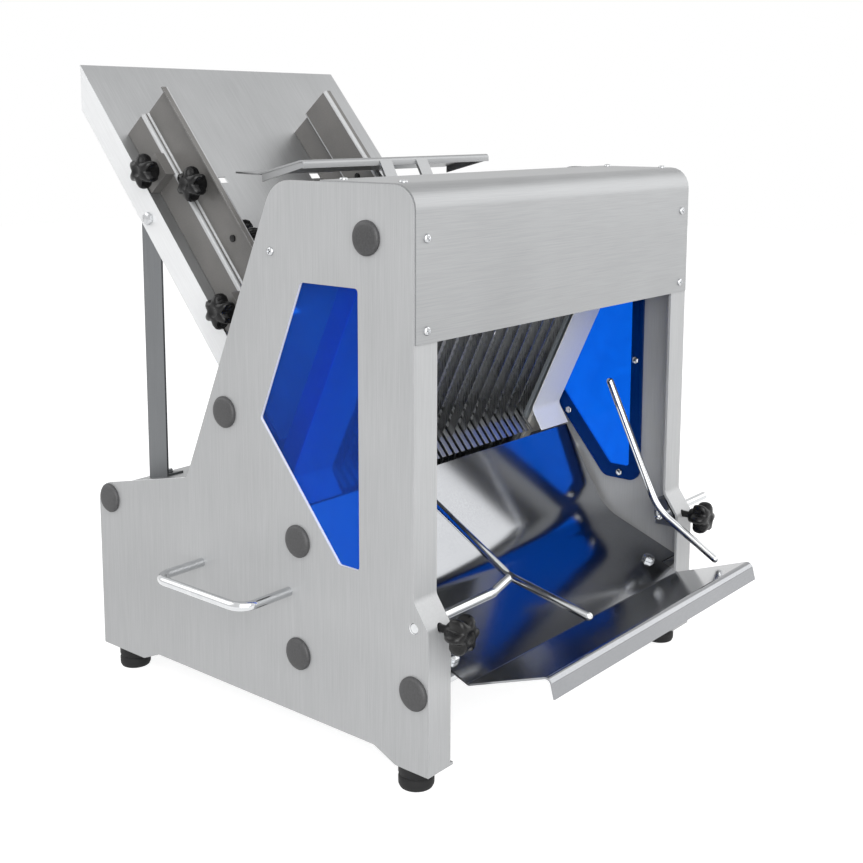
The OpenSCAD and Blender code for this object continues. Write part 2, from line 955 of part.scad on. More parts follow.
module hopper_struts() {
    low = strut_y - strut_w * half_share;
    color("darkgray")
        seat()
            difference() {
                both_sides()
                    difference() {
                        union() {
                            translate([-strut_x - strut_t, low, 0])
                                cube([strut_t, strut_w, cabinet_h * 2]);
                            difference() {
                                translate([-strut_x - overrun, low + strut_w - strut_t, 0])
                                    cube([strut_leg, strut_t, cabinet_h * 2]);
                                chute_space()
                                    translate([-chute_w, -cabinet_h * 2, -strut_top_gap])
                                        cube([chute_w * 2, cabinet_h * 4, cabinet_h]);
                            }
                            at([strut_y, strut_foot_z])
                                rotate([-atan(ridge_slope), 0, 0])
                                    translate([-strut_x - strut_t, -strut_w * half_share, 0])
                                        cube([strut_leg + strut_t, strut_w, strut_t]);
                        }
                        chute_space()
                            translate([-chute_w, -cabinet_h * 2, -chute_t - seat_gap])
                                cube([chute_w * 2, cabinet_h * 4, cabinet_h]);
                        at([strut_y, strut_foot_z])
                            rotate([-atan(ridge_slope), 0, 0])
                                translate([-chute_w, -cabinet_d, -cabinet_h])
                                    cube([chute_w * 2, cabinet_d * 2, cabinet_h]);
                    }
                at_hex_bolts()
                    bolt_hole();
            }
}

tray_run = slide_flat_run;
tray_back = [tray_back_y, slide_flat_z + tray_back_y * tray_run];
tray_crease = [tray_crease_y, slide_flat_z + tray_crease_y * tray_run];
tray_bolt_y = 5;
tray_bolt_inset = 14;
tray_bolt_x = tray_w * half_share - tray_bolt_inset;
flange_bolt_drop = 20;

module at_hex_bolts() {
    flange_point = [strut_y, hopper_z - (hopper_y - strut_y) * tan(chute_angle)
        - flange_bolt_drop / cos(chute_angle)];
    both_sides() {
        at(flange_point)
            translate([-chute_half, 0, 0])
                rotate([0, -90, 0])
                    children();
        at([strut_y, strut_foot_z])
            rotate([-atan(ridge_slope), 0, 0])
                translate([-strut_x + strut_leg * half_share, 0, strut_t])
                    children();
        at([tray_bolt_y, slide_flat_z + tray_bolt_y * tray_run])
            rotate([slide_flat_angle, 0, 0])
                translate([-tray_bolt_x, 0, tray_t])
                    children();
    }
}

module bolt_hole() {
    translate([0, 0, -bolt_l - overrun])
        cylinder(h = bolt_l + 2 * overrun, d = bolt_d + 2 * running_fit);
}

module hex_bolts() {
    color("gainsboro")
        seat()
            at_hex_bolts() {
                cylinder(h = bolt_head_h, d = bolt_head_w / cos(180 / hex_sides),
                    $fn = hex_sides);
                translate([0, 0, -bolt_l])
                    cylinder(h = bolt_l + overrun, d = bolt_d);
            }
}

// Discharge

module discharge_slide() {
    line = rounded_line([slide_top, slide_bend,
        [slide_end_y, slide_flat_z + slide_end_y * slide_flat_run]], [slide_bend_r]);
    color("silver")
        seat()
            difference() {
                folded_sheet(line, slide_t, -slide_w * half_share, slide_w * half_share);
                at_hex_bolts()
                    bolt_hole();
            }
}

module catch_tray() {
    line = rounded_line([tray_back, tray_crease, [-tray_reach, tray_front_z],
        [-tray_reach - tray_bend_r, tray_front_z - tray_lip_h]],
        [tray_bend_r, tray_bend_r]);
    color("silver")
        seat()
            difference() {
                folded_sheet(line, -tray_t, -tray_w * half_share, tray_w * half_share);
                at_hex_bolts()
                    bolt_hole();
            }
}

module blade_guards() {
    front = -rail_half_m;
    line = rounded_line([[front, guard_high_t], [front, guard_low_t],
        [front - guard_foot_l * sin(guard_turn), guard_low_t - guard_foot_l * cos(guard_turn)]],
        [soft_r]);
    color("silver")
        seat()
            both_sides()
                blade_space()
                    folded_sheet(line, -guard_t, -guard_out, -guard_in);
}

// Blade frames

module frame_rails() {
    color("whitesmoke")
        seat()
            both_sides()
                blade_space() {
                    translate([-rail_out, -rail_half_m, rail_low_t])
                        cube([rail_back_t, rail_half_m * 2, rail_head_t - rail_low_t]);
                    for (m = [-rail_half_m, -crank_throw + bar_w * half_share + slide_gap,
                        rail_half_m - rail_rib_w])
                        translate([-rail_in - overrun, m, rail_low_t])
                            cube([rail_hold + overrun,
                                m < 0 && m > -rail_half_m
                                    ? 2 * (crank_throw - bar_w * half_share - slide_gap)
                                    : rail_rib_w,
                                rail_high_t - rail_low_t]);
                    for (t = [bracket_low_t, bracket_high_t])
                        translate([-panel_in, -bracket_half_m, t])
                            cube([panel_in - rail_out + overrun, bracket_half_m * 2, bracket_h]);
                }
}

// A frame: two bars, two uprights and two lugs for the connecting rods
module blade_frame(m, lug_x, lug_w) {
    reach = lug_x + lug_w;
    translate([0, m, 0]) {
        for (t = [lower_bar_t, upper_bar_t])
            translate([-(t < 0 ? reach : upright_out), -bar_w * half_share,
                t - bar_h * half_share])
                cube([2 * (t < 0 ? reach : upright_out), bar_w, bar_h]);
        both_sides() {
            translate([-upright_out, -bar_w * half_share, lower_bar_t])
                cube([upright_w, bar_w, upper_bar_t - lower_bar_t]);
            translate([-reach, -bar_w * half_share, wrist_t])
                cube([lug_w, bar_w, lower_bar_t - wrist_t]);
            translate([-reach, 0, wrist_t])
                x_bar(0, lug_w, bar_w);
        }
    }
}

module blade_set(m, first) {
    blade_low = lower_bar_t + bar_h * half_share;
    for (i = [first:2:blade_count - 1])
        translate([i * blade_pitch - blade_half - blade_t * half_share,
            m - blade_w * half_share, blade_low])
            cube([blade_t, blade_w, upper_bar_t - bar_h * half_share - blade_low]);
}

module front_blade_frame() {
    color("lightsteelblue")
        seat()
            blade_space()
                blade_frame(-crank_throw, front_lug_x, lug_t);
}

module front_blades() {
    color("gainsboro")
        seat()
            blade_space()
                blade_set(-crank_throw, 0);
}

module rear_blade_frame() {
    color("lightsteelblue")
        seat()
            blade_space()
                blade_frame(crank_throw, outer_web_x + side_play, web_t - side_play);
}

module rear_blades() {
    color("gainsboro")
        seat()
            blade_space()
                blade_set(crank_throw, 1);
}

// Drive

module crankshaft() {
    inner_web_x = front_rod_x - side_play - web_t;
    color("gray")
        seat()
            blade_space()
                translate([0, 0, crank_t]) {
                    x_bar(-inner_web_x - overrun, inner_web_x + overrun, crank_d);
                    both_sides() {
                        x_bar(-inner_web_x - web_t, -inner_web_x, crank_web_d);
                        x_bar(-outer_web_x - web_t, -outer_web_x, crank_web_d);
                        translate([0, -crank_throw, 0])
                            x_bar(-outer_web_x - overrun, -inner_web_x - web_t + overrun,
                                crank_pin_d);
                        translate([0, crank_throw, 0])
                            x_bar(-crank_end_x, -outer_web_x - web_t + overrun, crank_pin_d);
                    }
                }
}

groove_depth = belt_h + belt_sink;
function pulley_profile(d, bore) = [[bore * half_share, 0], [d * half_share, 0],
    [d * half_share, (pulley_w - belt_w) * half_share - belt_gap],
    [d * half_share - groove_depth, (pulley_w - belt_w) * half_share - belt_gap],
    [d * half_share - groove_depth, (pulley_w + belt_w) * half_share + belt_gap],
    [d * half_share, (pulley_w + belt_w) * half_share + belt_gap],
    [d * half_share, pulley_w], [bore * half_share, pulley_w]];

module grooved_pulley(d, bore) {
    translate([pulley_x - pulley_w * half_share, 0, 0])
        rotate([0, 90, 0])
            rotate_extrude()
                polygon(pulley_profile(d, bore));
}

module crank_pulley() {
    color("dimgray")
        seat()
            at(crank_place)
                grooved_pulley(crank_pulley_d, crank_d);
}

module connecting_rod(x, m) {
    translate([0, m, 0])
        difference() {
            union() {
                translate([-x - rod_t, 0, crank_t])
                    x_bar(0, rod_t, rod_eye_d);
                translate([-x - rod_t, 0, wrist_t])
                    x_bar(0, rod_t, bar_w);
                translate([-x - rod_t, -rod_waist_w * half_share, crank_t])
                    cube([rod_t, rod_waist_w, wrist_t - crank_t]);
            }
            translate([-x - rod_t, 0, crank_t])
                x_bar(-overrun, rod_t + overrun, crank_pin_d + 2 * running_fit);
        }
}

module front_connecting_rods() {
    color("slategray")
        seat()
            both_sides()
                blade_space()
                    connecting_rod(front_rod_x, -crank_throw);
}

module rear_connecting_rods() {
    color("slategray")
        seat()
            both_sides()
                blade_space()
                    connecting_rod(rear_rod_x, crank_throw);
}

module bearing_blocks() {
    color("dimgray")
        seat()
            both_sides()
                translate([-bearing_x - bearing_w, 0, 0])
                    difference() {
                        union() {
                            at(crank_place)
                                x_bar(0, bearing_w, bearing_d);
                            translate([0, crank_place.x - bearing_d * half_share, base_top_z])
                                cube([bearing_w, bearing_d, crank_place.y - base_top_z]);
                        }
                        at(crank_place)
                            x_bar(-overrun, bearing_w + overrun, crank_d + 2 * running_fit);
                    }
}

motor_foot_share = 0.7;
motor_boss_share = 0.4;
motor_boss_l = 10;

module motor_body() {
    foot_w = motor_d * motor_foot_share;
    color("slategray")
        seat()
            difference() {
                union() {
                    at(motor_place)
                        x_bar(motor_start_x, motor_start_x + motor_l, motor_d);
                    at(motor_place)
                        x_bar(motor_start_x - motor_boss_l, motor_start_x + overrun,
                            motor_d * motor_boss_share);
                    translate([motor_start_x + motor_l * (1 - motor_foot_share) * half_share,
                        motor_y - foot_w * half_share, base_top_z])
                        cube([motor_l * motor_foot_share, foot_w, motor_z - base_top_z]);
                }
                at(motor_place)
                    x_bar(motor_start_x - motor_boss_l - overrun, motor_start_x,
                        motor_shaft_d + 2 * running_fit);
            }
}

module motor_pulley() {
    color("dimgray")
        seat()
            at(motor_place) {
                grooved_pulley(motor_pulley_d, motor_shaft_d);
                x_bar(pulley_x - pulley_w * half_share, motor_start_x - side_play, motor_shaft_d);
            }
}

// Outline of a belt round two wheels: the tangent points turn with the angle between them
function belt_loop(a, ra, b, rb) = let (
    way = b - a,
    along = atan2(way.y, way.x),
    open = acos((ra - rb) / norm(way)),
    turns = arc_steps * 4)
    concat([for (i = [0:turns]) let (g = along + open + (360 - 2 * open) * i / turns)
            a + ra * [cos(g), sin(g)]],
        [for (i = [0:turns]) let (g = along - open + 2 * open * i / turns)
            b + rb * [cos(g), sin(g)]]);

module drive_belt() {
    crank_r = crank_pulley_d * half_share - groove_depth + belt_gap;
    motor_r = motor_pulley_d * half_share - groove_depth + belt_gap;
    color("black")
        seat()
            along_x(pulley_x - belt_w * half_share, pulley_x + belt_w * half_share)
                difference() {
                    polygon(belt_loop(crank_place, crank_r + belt_h,
                        motor_place, motor_r + belt_h));
                    polygon(belt_loop(crank_place, crank_r, motor_place, motor_r));
                }
}

// Slice guides

module clamp_blocks() {
    front = -toe_step + panel_t + block_gap;
    lean_y = toe_step / step_rise;
    color("gray")
        seat()
            both_sides()
                difference() {
                    along_x(-panel_in, -block_in)
                        polygon([[block_back_y, stem_z - block_half_h],
                            [block_back_y, stem_z + block_half_h],
                            [front + block_half_h * lean_y + soft_r * half_share,
                                stem_z + block_half_h],
                            [front + soft_r * half_share, stem_z],
                            [front, stem_z - soft_r],
                            [front, stem_z - block_half_h]]);
                    at([stem_y, stem_z])
                        x_bar(-panel_out, -block_in + overrun, stem_d + 2 * running_fit);
                    translate([-clamp_knob_x, -toe_step, stem_z])
                        rotate([-90, 0, 0])
                            cylinder(h = toe_step, d = knob_stud_d + 2 * running_fit);
                }
}

// A stem outward from the collar of its guide, with the spigot that the guide turns on
module stem(collar_x, l) {
    start = collar_x + seat_gap;
    color("gainsboro")
        at([stem_y, stem_z]) {
            x_bar(-start - l, -start, stem_d);
            x_bar(-start - overrun, -start + spigot_l, spigot_d);
        }
}

module slice_leg(turn, l) {
    rotate([turn - 90, 0, 0]) {
        cylinder(h = l, d = slice_rod_d);
        translate([0, 0, l])
            sphere(d = slice_rod_d);
    }
}

// A bent guide: a bored collar on the stem's axis, an arm that lifts off the axis, and one
// leg up to the blades and one down to the tray
module slice_rod(x, run, rise, bend, down_l) {
    collar_x = x + run + stem_collar_l;
    color("gainsboro")
        at([stem_y, stem_z])
            difference() {
                union() {
                    x_bar(-collar_x, -x - run, stem_d);
                    translate([-x - run, 0, 0]) {
                        rotate([0, 90, 0])
                            sphere(d = stem_d);
                        rotate([0, 90 - atan2(slice_lift, run), 0])
                            cylinder(h = norm([run, slice_lift]), d = slice_rod_d);
                    }
                    translate([-x, 0, slice_lift]) {
                        rotate([0, 90, 0])
                            sphere(d = stem_d);
                        slice_leg(rise, slice_rod_up_l);
                        slice_leg(rise - bend + 180, down_l);
                    }
                }
                x_bar(-collar_x - overrun, -collar_x + spigot_l, spigot_d + 2 * running_fit);
            }
}

module left_stem() {
    seat()
        stem(left_slice_x + left_arm_run + stem_collar_l, left_stem_l);
}

module right_stem() {
    seat()
        mirror([1, 0, 0])
            stem(right_slice_x + right_arm_run + stem_collar_l, right_stem_l);
}

module left_slice_rod() {
    seat()
        slice_rod(left_slice_x, left_arm_run, left_slice_rise, left_slice_bend, left_down_l);
}

module right_slice_rod() {
    seat()
        mirror([1, 0, 0])
            slice_rod(right_slice_x, right_arm_run, right_slice_rise, right_slice_bend,
                right_down_l);
}

module clamp_knob() {
    tip = stem_y - stem_d * half_share - seat_gap;
    base = -toe_step - clamp_knob_gap;
    color("black")
        translate([-clamp_knob_x, base, stem_z])
            rotate([90, 0, 0])
                star_knob(tip - base);
}

module left_clamp_knob() {
    seat()
        clamp_knob();
}

module right_clamp_knob() {
    seat()
        mirror([1, 0, 0])
            clamp_knob();
}

// Loaf guides: drawn for the left side at x, the right ones are mirrored

module guide_hole(x, s, h) {
    translate([x, -s, h])
        x_bar(-shoe_w, shoe_w, knob_stud_d + 2 * running_fit);
}

module loaf_guide(x) {
    line = rounded_line([[-x, guide_lift], [-x, guide_fold_h],
        [-x + guide_step, guide_fold_h], [-x + guide_step, guide_h],
        [-x + guide_step - guide_hem, guide_h]], [guide_t * 2, guide_t, guide_t]);
    color("dimgray")
        chute_space()
            difference() {
                translate([0, -guide_start, 0])
                    rotate([90, 0, 0])
                        linear_extrude(guide_l)
                            polygon(concat(line, backward(beside(line, -guide_t))));
                for (s = shoe_places)
                    guide_hole(-x, s, shoe_hole_h);
                for (s = [outer_knob_s, inner_knob_s])
                    guide_hole(-x + guide_step, s, upper_knob_h);
            }
}

module guide_shoes(x) {
    color("gray")
        chute_space()
            for (s = shoe_places)
                difference() {
                    union() {
                        translate([-x - shoe_w, -s - shoe_l * half_share, guide_lift])
                            cube([shoe_w, shoe_l, shoe_h - guide_lift]);
                        translate([-x - shoe_w + tongue_gap, -s - tongue_l * half_share,
                            -chute_t - seat_gap - overrun])
                            cube([tongue_w, tongue_l, chute_t + seat_gap + guide_lift + 2 * overrun]);
                        translate([-x - shoe_w + tongue_gap, -s - shoe_foot_l * half_share,
                            -chute_t - seat_gap - shoe_foot_h])
                            cube([tongue_w, shoe_foot_l, shoe_foot_h]);
                    }
                    guide_hole(-x - shoe_w * half_share, s, shoe_hole_h);
                }
}

module shoe_knob(x, s) {
    color("black")
        chute_space()
            translate([-x - shoe_w - seat_gap, -s, shoe_hole_h])
                rotate([0, -90, 0])
                    star_knob(shoe_w + guide_t + seat_gap);
}

module outer_knob(x) {
    color("black")
        chute_space()
            translate([-x + guide_step - seat_gap, -outer_knob_s, upper_knob_h])
                rotate([0, -90, 0])
                    star_knob(guide_t * 2);
}

module inner_knob(x) {
    color("black")
        chute_space()
            translate([-x + guide_step + guide_t + seat_gap, -inner_knob_s, upper_knob_h])
                rotate([0, 90, 0])
                    star_knob(guide_t * 2);
}

module left_loaf_guide() {
    seat()
        loaf_guide(left_guide_x);
}

module right_loaf_guide() {
    seat()
        mirror([1, 0, 0])
            loaf_guide(right_guide_x);
}

module left_guide_shoes() {
    seat()
        guide_shoes(left_guide_x);
}

module right_guide_shoes() {
    seat()
        mirror([1, 0, 0])
            guide_shoes(right_guide_x);
}

module left_upper_shoe_knob() {
    seat()
        shoe_knob(left_guide_x, shoe_places[0]);
}

module left_lower_shoe_knob() {
    seat()
        shoe_knob(left_guide_x, shoe_places[1]);
}

module left_outer_knob() {
    seat()
        outer_knob(left_guide_x);
}

module left_inner_knob() {
    seat()
        inner_knob(left_guide_x);
}

module right_upper_shoe_knob() {
    seat()
        mirror([1, 0, 0])
            shoe_knob(right_guide_x, shoe_places[0]);
}

module right_lower_shoe_knob() {
    seat()
        mirror([1, 0, 0])
            shoe_knob(right_guide_x, shoe_places[1]);
}

module right_outer_knob() {
    seat()
        mirror([1, 0, 0])
            outer_knob(right_guide_x);
}

module right_inner_knob() {
    seat()
        mirror([1, 0, 0])
            inner_knob(right_guide_x);
}

// Pusher

module pusher_rod() {
    color("gainsboro")
        seat()
            at([pusher_y, pusher_z])
                x_bar(-panel_in, panel_in, pusher_rod_d);
}

module pusher_flap() {
    line = rounded_line([[pusher_front_y, pusher_low_z], [pusher_front_y, pusher_high_z],
        [pusher_mid_y, pusher_mid_z], [pusher_end_y, pusher_end_z]], [pusher_t * 2, soft_r]);
    half = pusher_w * half_share;
    strap = [pusher_front_y + pusher_t * half_share - pusher_y,
        (pusher_low_z + pusher_high_z) * half_share - pusher_z];
    fall = (pusher_high_z - pusher_mid_z) / (pusher_mid_y - pusher_front_y);
    side_start = pusher_t * 3;
    color("silver")
        seat()
            difference() {
                union() {
                    folded_sheet(line, -pusher_t, -half, half);
                    for (x = [-half + pusher_t * half_share, half - pusher_t * 3 * half_share])
                        along_x(x, x + pusher_t)
                            polygon([[pusher_front_y + pusher_t * half_share,
                                    pusher_high_z - pusher_side_h],
                                [pusher_front_y + pusher_t * half_share,
                                    pusher_high_z - side_start],
                                [pusher_front_y + side_start, pusher_high_z
                                    - side_start * fall - pusher_t * half_share],
                                [pusher_mid_y - side_start, pusher_mid_z
                                    + side_start * fall - pusher_t * half_share],
                                [pusher_mid_y - side_start, pusher_mid_z - pusher_side_h]]);
                    for (x = [-pusher_strap_x, pusher_strap_x])
                        at([pusher_y, pusher_z]) {
                            rotate([atan2(strap.y, strap.x), 0, 0])
                                translate([x - pusher_strap_w * half_share, 0,
                                    -pusher_strap_t * half_share])
                                    cube([pusher_strap_w, norm(strap), pusher_strap_t]);
                            x_bar(x - pusher_strap_w * half_share - pusher_t,
                                x + pusher_strap_w * half_share + pusher_t, pusher_hub_d);
                        }
                }
                at([pusher_y, pusher_z])
                    x_bar(-half, half, pusher_rod_d + 2 * running_fit);
            }
}

// Switch and cable entry on the sides that face away

module switch_body() {
    middle = (button_y[0] + button_y[1]) * half_share;
    color("dimgray")
        seat()
            difference() {
                union() {
                    for (y = button_y)
                        at([y, button_z])
                            x_bar(panel_out, panel_out + bezel_h, bezel_d);
                    translate([panel_in - switch_depth, middle - switch_w * half_share,
                        button_z - switch_h * half_share])
                        cube([switch_depth, switch_w, switch_h]);
                }
                for (y = button_y)
                    at([y, button_z])
                        x_bar(panel_out + bezel_h - button_l, panel_out + bezel_h + overrun,
                            button_d + 2 * button_fit);
            }
}

module push_button(y) {
    start = panel_out + bezel_h - button_l + button_travel + seat_gap;
    at([y, button_z])
        x_bar(start, panel_out + bezel_h + button_out, button_d);
}

module start_button() {
    color("green")
        seat()
            push_button(button_y[0]);
}

module stop_button() {
    color("red")
        seat()
            push_button(button_y[1]);
}

module cable_gland() {
    color("dimgray")
        seat()
            translate([gland_x, cover_rear_y, gland_z])
                rotate([-90, 0, 0])
                    difference() {
                        union() {
                            cylinder(h = gland_hex_l, d = gland_hex_w / cos(180 / hex_sides),
                                $fn = hex_sides);
                            cylinder(h = gland_l, d = gland_d);
                        }
                        translate([0, 0, -overrun])
                            cylinder(h = gland_l + 2 * overrun, d = gland_bore_d);
                    }
}

left_side_panel();
right_side_panel();
left_window_pane();
right_window_pane();
pane_nuts();
panel_caps();
tie_bars();
hood();
hood_screws();
base_plate();
rear_cover();
feet();
left_handle();
right_handle();
hopper_chute();
comb_plate();
hopper_struts();
hex_bolts();
discharge_slide();
catch_tray();
blade_guards();
frame_rails();
bearing_blocks();
motor_body();
drive_belt();
clamp_blocks();
pusher_rod();
switch_body();
cable_gland();
front_blade_frame();
front_blades();
rear_blade_frame();
rear_blades();
crankshaft();
crank_pulley();
front_connecting_rods();
rear_connecting_rods();
motor_pulley();
left_stem();
right_stem();
left_slice_rod();
right_slice_rod();
left_clamp_knob();
right_clamp_knob();
left_loaf_guide();
right_loaf_guide();
left_guide_shoes();
right_guide_shoes();
left_upper_shoe_knob();
left_lower_shoe_knob();
left_outer_knob();
left_inner_knob();
right_upper_shoe_knob();
right_lower_shoe_knob();
right_outer_knob();
right_inner_knob();
pusher_flap();
start_button();
stop_button();
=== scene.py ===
"""Looks of a table-top bread slicer: finishes, rounded sheet edges, fasteners and studio.

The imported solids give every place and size. Each sub-assembly is a class that dresses its
own nodes, and what repeats or follows a path is grown by trees of geometry nodes.
"""

import json
import logging
import math
from dataclasses import dataclass
from enum import Enum
from typing import Any, Iterable, Sequence

import bmesh
import bpy
from mathutils import Matrix, Vector

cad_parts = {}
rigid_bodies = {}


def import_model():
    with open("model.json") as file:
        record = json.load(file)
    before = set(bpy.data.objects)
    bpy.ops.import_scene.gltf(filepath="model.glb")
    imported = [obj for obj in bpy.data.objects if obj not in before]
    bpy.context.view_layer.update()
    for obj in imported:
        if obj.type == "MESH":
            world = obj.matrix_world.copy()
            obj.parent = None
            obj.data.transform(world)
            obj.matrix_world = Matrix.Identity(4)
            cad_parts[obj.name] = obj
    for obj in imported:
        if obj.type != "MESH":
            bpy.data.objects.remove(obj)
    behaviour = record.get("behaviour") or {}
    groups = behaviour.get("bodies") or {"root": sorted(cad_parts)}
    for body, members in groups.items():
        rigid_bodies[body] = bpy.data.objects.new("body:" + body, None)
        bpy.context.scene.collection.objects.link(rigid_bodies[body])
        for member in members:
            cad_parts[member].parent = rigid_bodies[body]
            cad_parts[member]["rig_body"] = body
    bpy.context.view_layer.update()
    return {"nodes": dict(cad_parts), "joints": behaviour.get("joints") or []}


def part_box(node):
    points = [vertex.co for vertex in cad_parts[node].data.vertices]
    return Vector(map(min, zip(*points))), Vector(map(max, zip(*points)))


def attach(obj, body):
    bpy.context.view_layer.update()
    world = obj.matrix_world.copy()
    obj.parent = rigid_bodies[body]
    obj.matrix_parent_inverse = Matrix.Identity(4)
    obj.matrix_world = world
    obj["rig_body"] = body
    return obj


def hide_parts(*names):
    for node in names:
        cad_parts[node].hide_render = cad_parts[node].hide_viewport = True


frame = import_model()

LOG = logging.getLogger("bread_slicer")
MM = 0.001
MERGE = 1e-6  # points closer than this are one
FLAT_DEG = 0.6  # faces that differ by less lie in one plane
ROUND_DEG = 32.0  # edges that turn by more are rounded
SHARP_DEG = 38.0  # edges that turn by more shade as sharp
SIDEWAYS = 0.8  # share of X in a normal from which a face looks sideways
HEXAGON = 1 / math.cos(math.pi / 6)  # width over corners, for a width over flats of one
SENSOR_MM = 36.0


class Grain(Enum):
    """Way that a sheet was brushed: stretch of the lines on X, Y, Z and turn about X."""

    ACROSS = ((60.0, 1.0, 1.0), 0.0)
    DEPTH = ((1.0, 60.0, 1.0), 0.0)
    HEIGHT = ((1.0, 1.0, 60.0), 0.0)
    CHUTE = ((1.0, 60.0, 1.0), 50.0)


class Side(Enum):
    """Side of the machine, with its sign on X."""

    LEFT = -1
    RIGHT = 1

    @property
    def word(self) -> str:
        """Returns the word that the nodes of this side start with."""
        return self.name.lower()


def linear(colour: str) -> tuple[float, float, float, float]:
    """Turns an sRGB hex value into linear light.

    Args:
        colour: Six hex digits after a hash.

    Returns:
        Red, green, blue and an alpha of one.
    """
    parts = [int(colour[i:i + 2], 16) / 255 for i in (1, 3, 5)]
    light = [p / 12.92 if p <= 0.04045 else ((p + 0.055) / 1.055) ** 2.4 for p in parts]
    return light[0], light[1], light[2], 1.0


def add_node(tree: bpy.types.NodeTree, kind: str, settings: dict[str, Any] | None = None,
             inputs: dict[str | int, Any] | None = None) -> bpy.types.Node:
    """Adds a node with its settings, values and links.

    Args:
        tree: Tree that gets the node.
        kind: Type name of the node.
        settings: Properties of the node.
        inputs: Values of its sockets, or sockets of other nodes to link from.

    Returns:
        The new node.
    """
    node = tree.nodes.new(kind)
    for name, value in (settings or {}).items():
        setattr(node, name, value)
    for key, value in (inputs or {}).items():
        if isinstance(value, bpy.types.NodeSocket):
            tree.links.new(value, node.inputs[key])
        else:
            node.inputs[key].default_value = value
    return node


# Finishes


@dataclass(frozen=True)
class Finish:
    """A surface finish between two colours and two roughnesses, made on first use.

    The span holds the values of its pattern at which the skin is smooth and rough.
    """

    name: str
    slot: str
    light: str = "#808080"
    dark: str = "#707070"
    smooth: float = 0.4
    rough: float = 0.5
    span: tuple[float, float] = (0.3, 0.7)
    relief_mm: float = 0.0
    strength: float = 0.0

    def material(self) -> bpy.types.Material:
        """Returns the material of this finish."""
        return bpy.data.materials.get(self.name) or self.made()

    def made(self) -> bpy.types.Material:
        """Makes the material.

        Returns:
            A material with one shader, painted by the kind of finish.
        """
        material = bpy.data.materials.new(self.name)
        material.use_nodes = True
        tree = material.node_tree
        tree.nodes.clear()
        shader = add_node(tree, "ShaderNodeBsdfPrincipled")
        add_node(tree, "ShaderNodeOutputMaterial",
                 inputs={"Surface": shader.outputs["BSDF"]})
        place = add_node(tree, "ShaderNodeTexCoord").outputs["Object"]
        self.paint(tree, shader, place)
        return material

    def paint(self, tree: bpy.types.NodeTree, shader: bpy.types.Node,
              place: bpy.types.NodeSocket) -> None:
        """Gives the shader its colour, roughness and relief.

        Args:
            tree: Tree of the material.
            shader: Its shader.
            place: Object coordinates in metres.
        """
        raise NotImplementedError

    def spread(self, tree: bpy.types.NodeTree, shader: bpy.types.Node,
               share: bpy.types.NodeSocket, value: bpy.types.NodeSocket,
               height: bpy.types.NodeSocket) -> None:
        """Spreads the colours, the roughnesses and the relief over the skin.

        Args:
            tree: Tree of the material.
            shader: Its shader.
            share: Share of the light colour.
            value: Pattern that the roughness follows.
            height: Pattern of the relief, where the skin has one.
        """
        tone = add_node(tree, "ShaderNodeMix", {"data_type": "RGBA"}, {
            0: share, 6: linear(self.dark), 7: linear(self.light)})
        blur = add_node(tree, "ShaderNodeMapRange", inputs={
            "Value": value, "From Min": self.span[0], "From Max": self.span[1],
            "To Min": self.smooth, "To Max": self.rough})
        tree.links.new(tone.outputs[2], shader.inputs["Base Color"])
        tree.links.new(blur.outputs["Result"], shader.inputs["Roughness"])
        if self.relief_mm:
            relief = add_node(tree, "ShaderNodeBump", inputs={
                "Height": height, "Strength": self.strength,
                "Distance": self.relief_mm * MM})
            tree.links.new(relief.outputs["Normal"], shader.inputs["Normal"])


@dataclass(frozen=True)
class SheetSteel(Finish):
    """Stainless sheet, brushed with a belt: fine parallel lines that blur what they mirror.

    The real lines are about 0.1 mm wide. They are drawn at line_mm so that they show.
    """

    light: str = "#B4B5B6"
    dark: str = "#A2A3A4"
    grain: Grain = Grain.ACROSS
    smooth: float = 0.38
    rough: float = 0.52
    span: tuple[float, float] = (0.45, 1.05)
    metal: float = 1.0
    line_mm: float = 0.9
    cloud_mm: float = 140.0
    cloud_share: float = 0.5
    relief_mm: float = 0.02
    strength: float = 0.25

    def paint(self, tree: bpy.types.NodeTree, shader: bpy.types.Node,
              place: bpy.types.NodeSocket) -> None:
        """Paints brushing lines over broad clouds of handling and rolling.

        Args:
            tree: Tree of the material.
            shader: Its shader.
            place: Object coordinates in metres.
        """
        stretch, turn = self.grain.value
        along = add_node(tree, "ShaderNodeMapping", {"vector_type": "TEXTURE"},
                         {"Vector": place, "Rotation": (math.radians(turn), 0, 0),
                          "Scale": stretch})
        lines = add_node(tree, "ShaderNodeTexNoise", inputs={
            "Vector": along.outputs["Vector"], "Scale": 1 / (self.line_mm * MM),
            "Detail": 3.0, "Roughness": 0.6})
        cloud = add_node(tree, "ShaderNodeTexNoise", inputs={
            "Vector": place, "Scale": 1 / (self.cloud_mm * MM), "Detail": 2.0})
        both = add_node(tree, "ShaderNodeMath", {"operation": "MULTIPLY_ADD"}, {
            0: cloud.outputs["Fac"], 1: self.cloud_share, 2: lines.outputs["Fac"]})
        share = add_node(tree, "ShaderNodeMapRange", inputs={
            "Value": both.outputs[0], "From Min": self.span[0], "From Max": self.span[1]})
        self.spread(tree, shader, share.outputs["Result"], both.outputs[0],
                    lines.outputs["Fac"])
        shader.inputs["Metallic"].default_value = self.metal


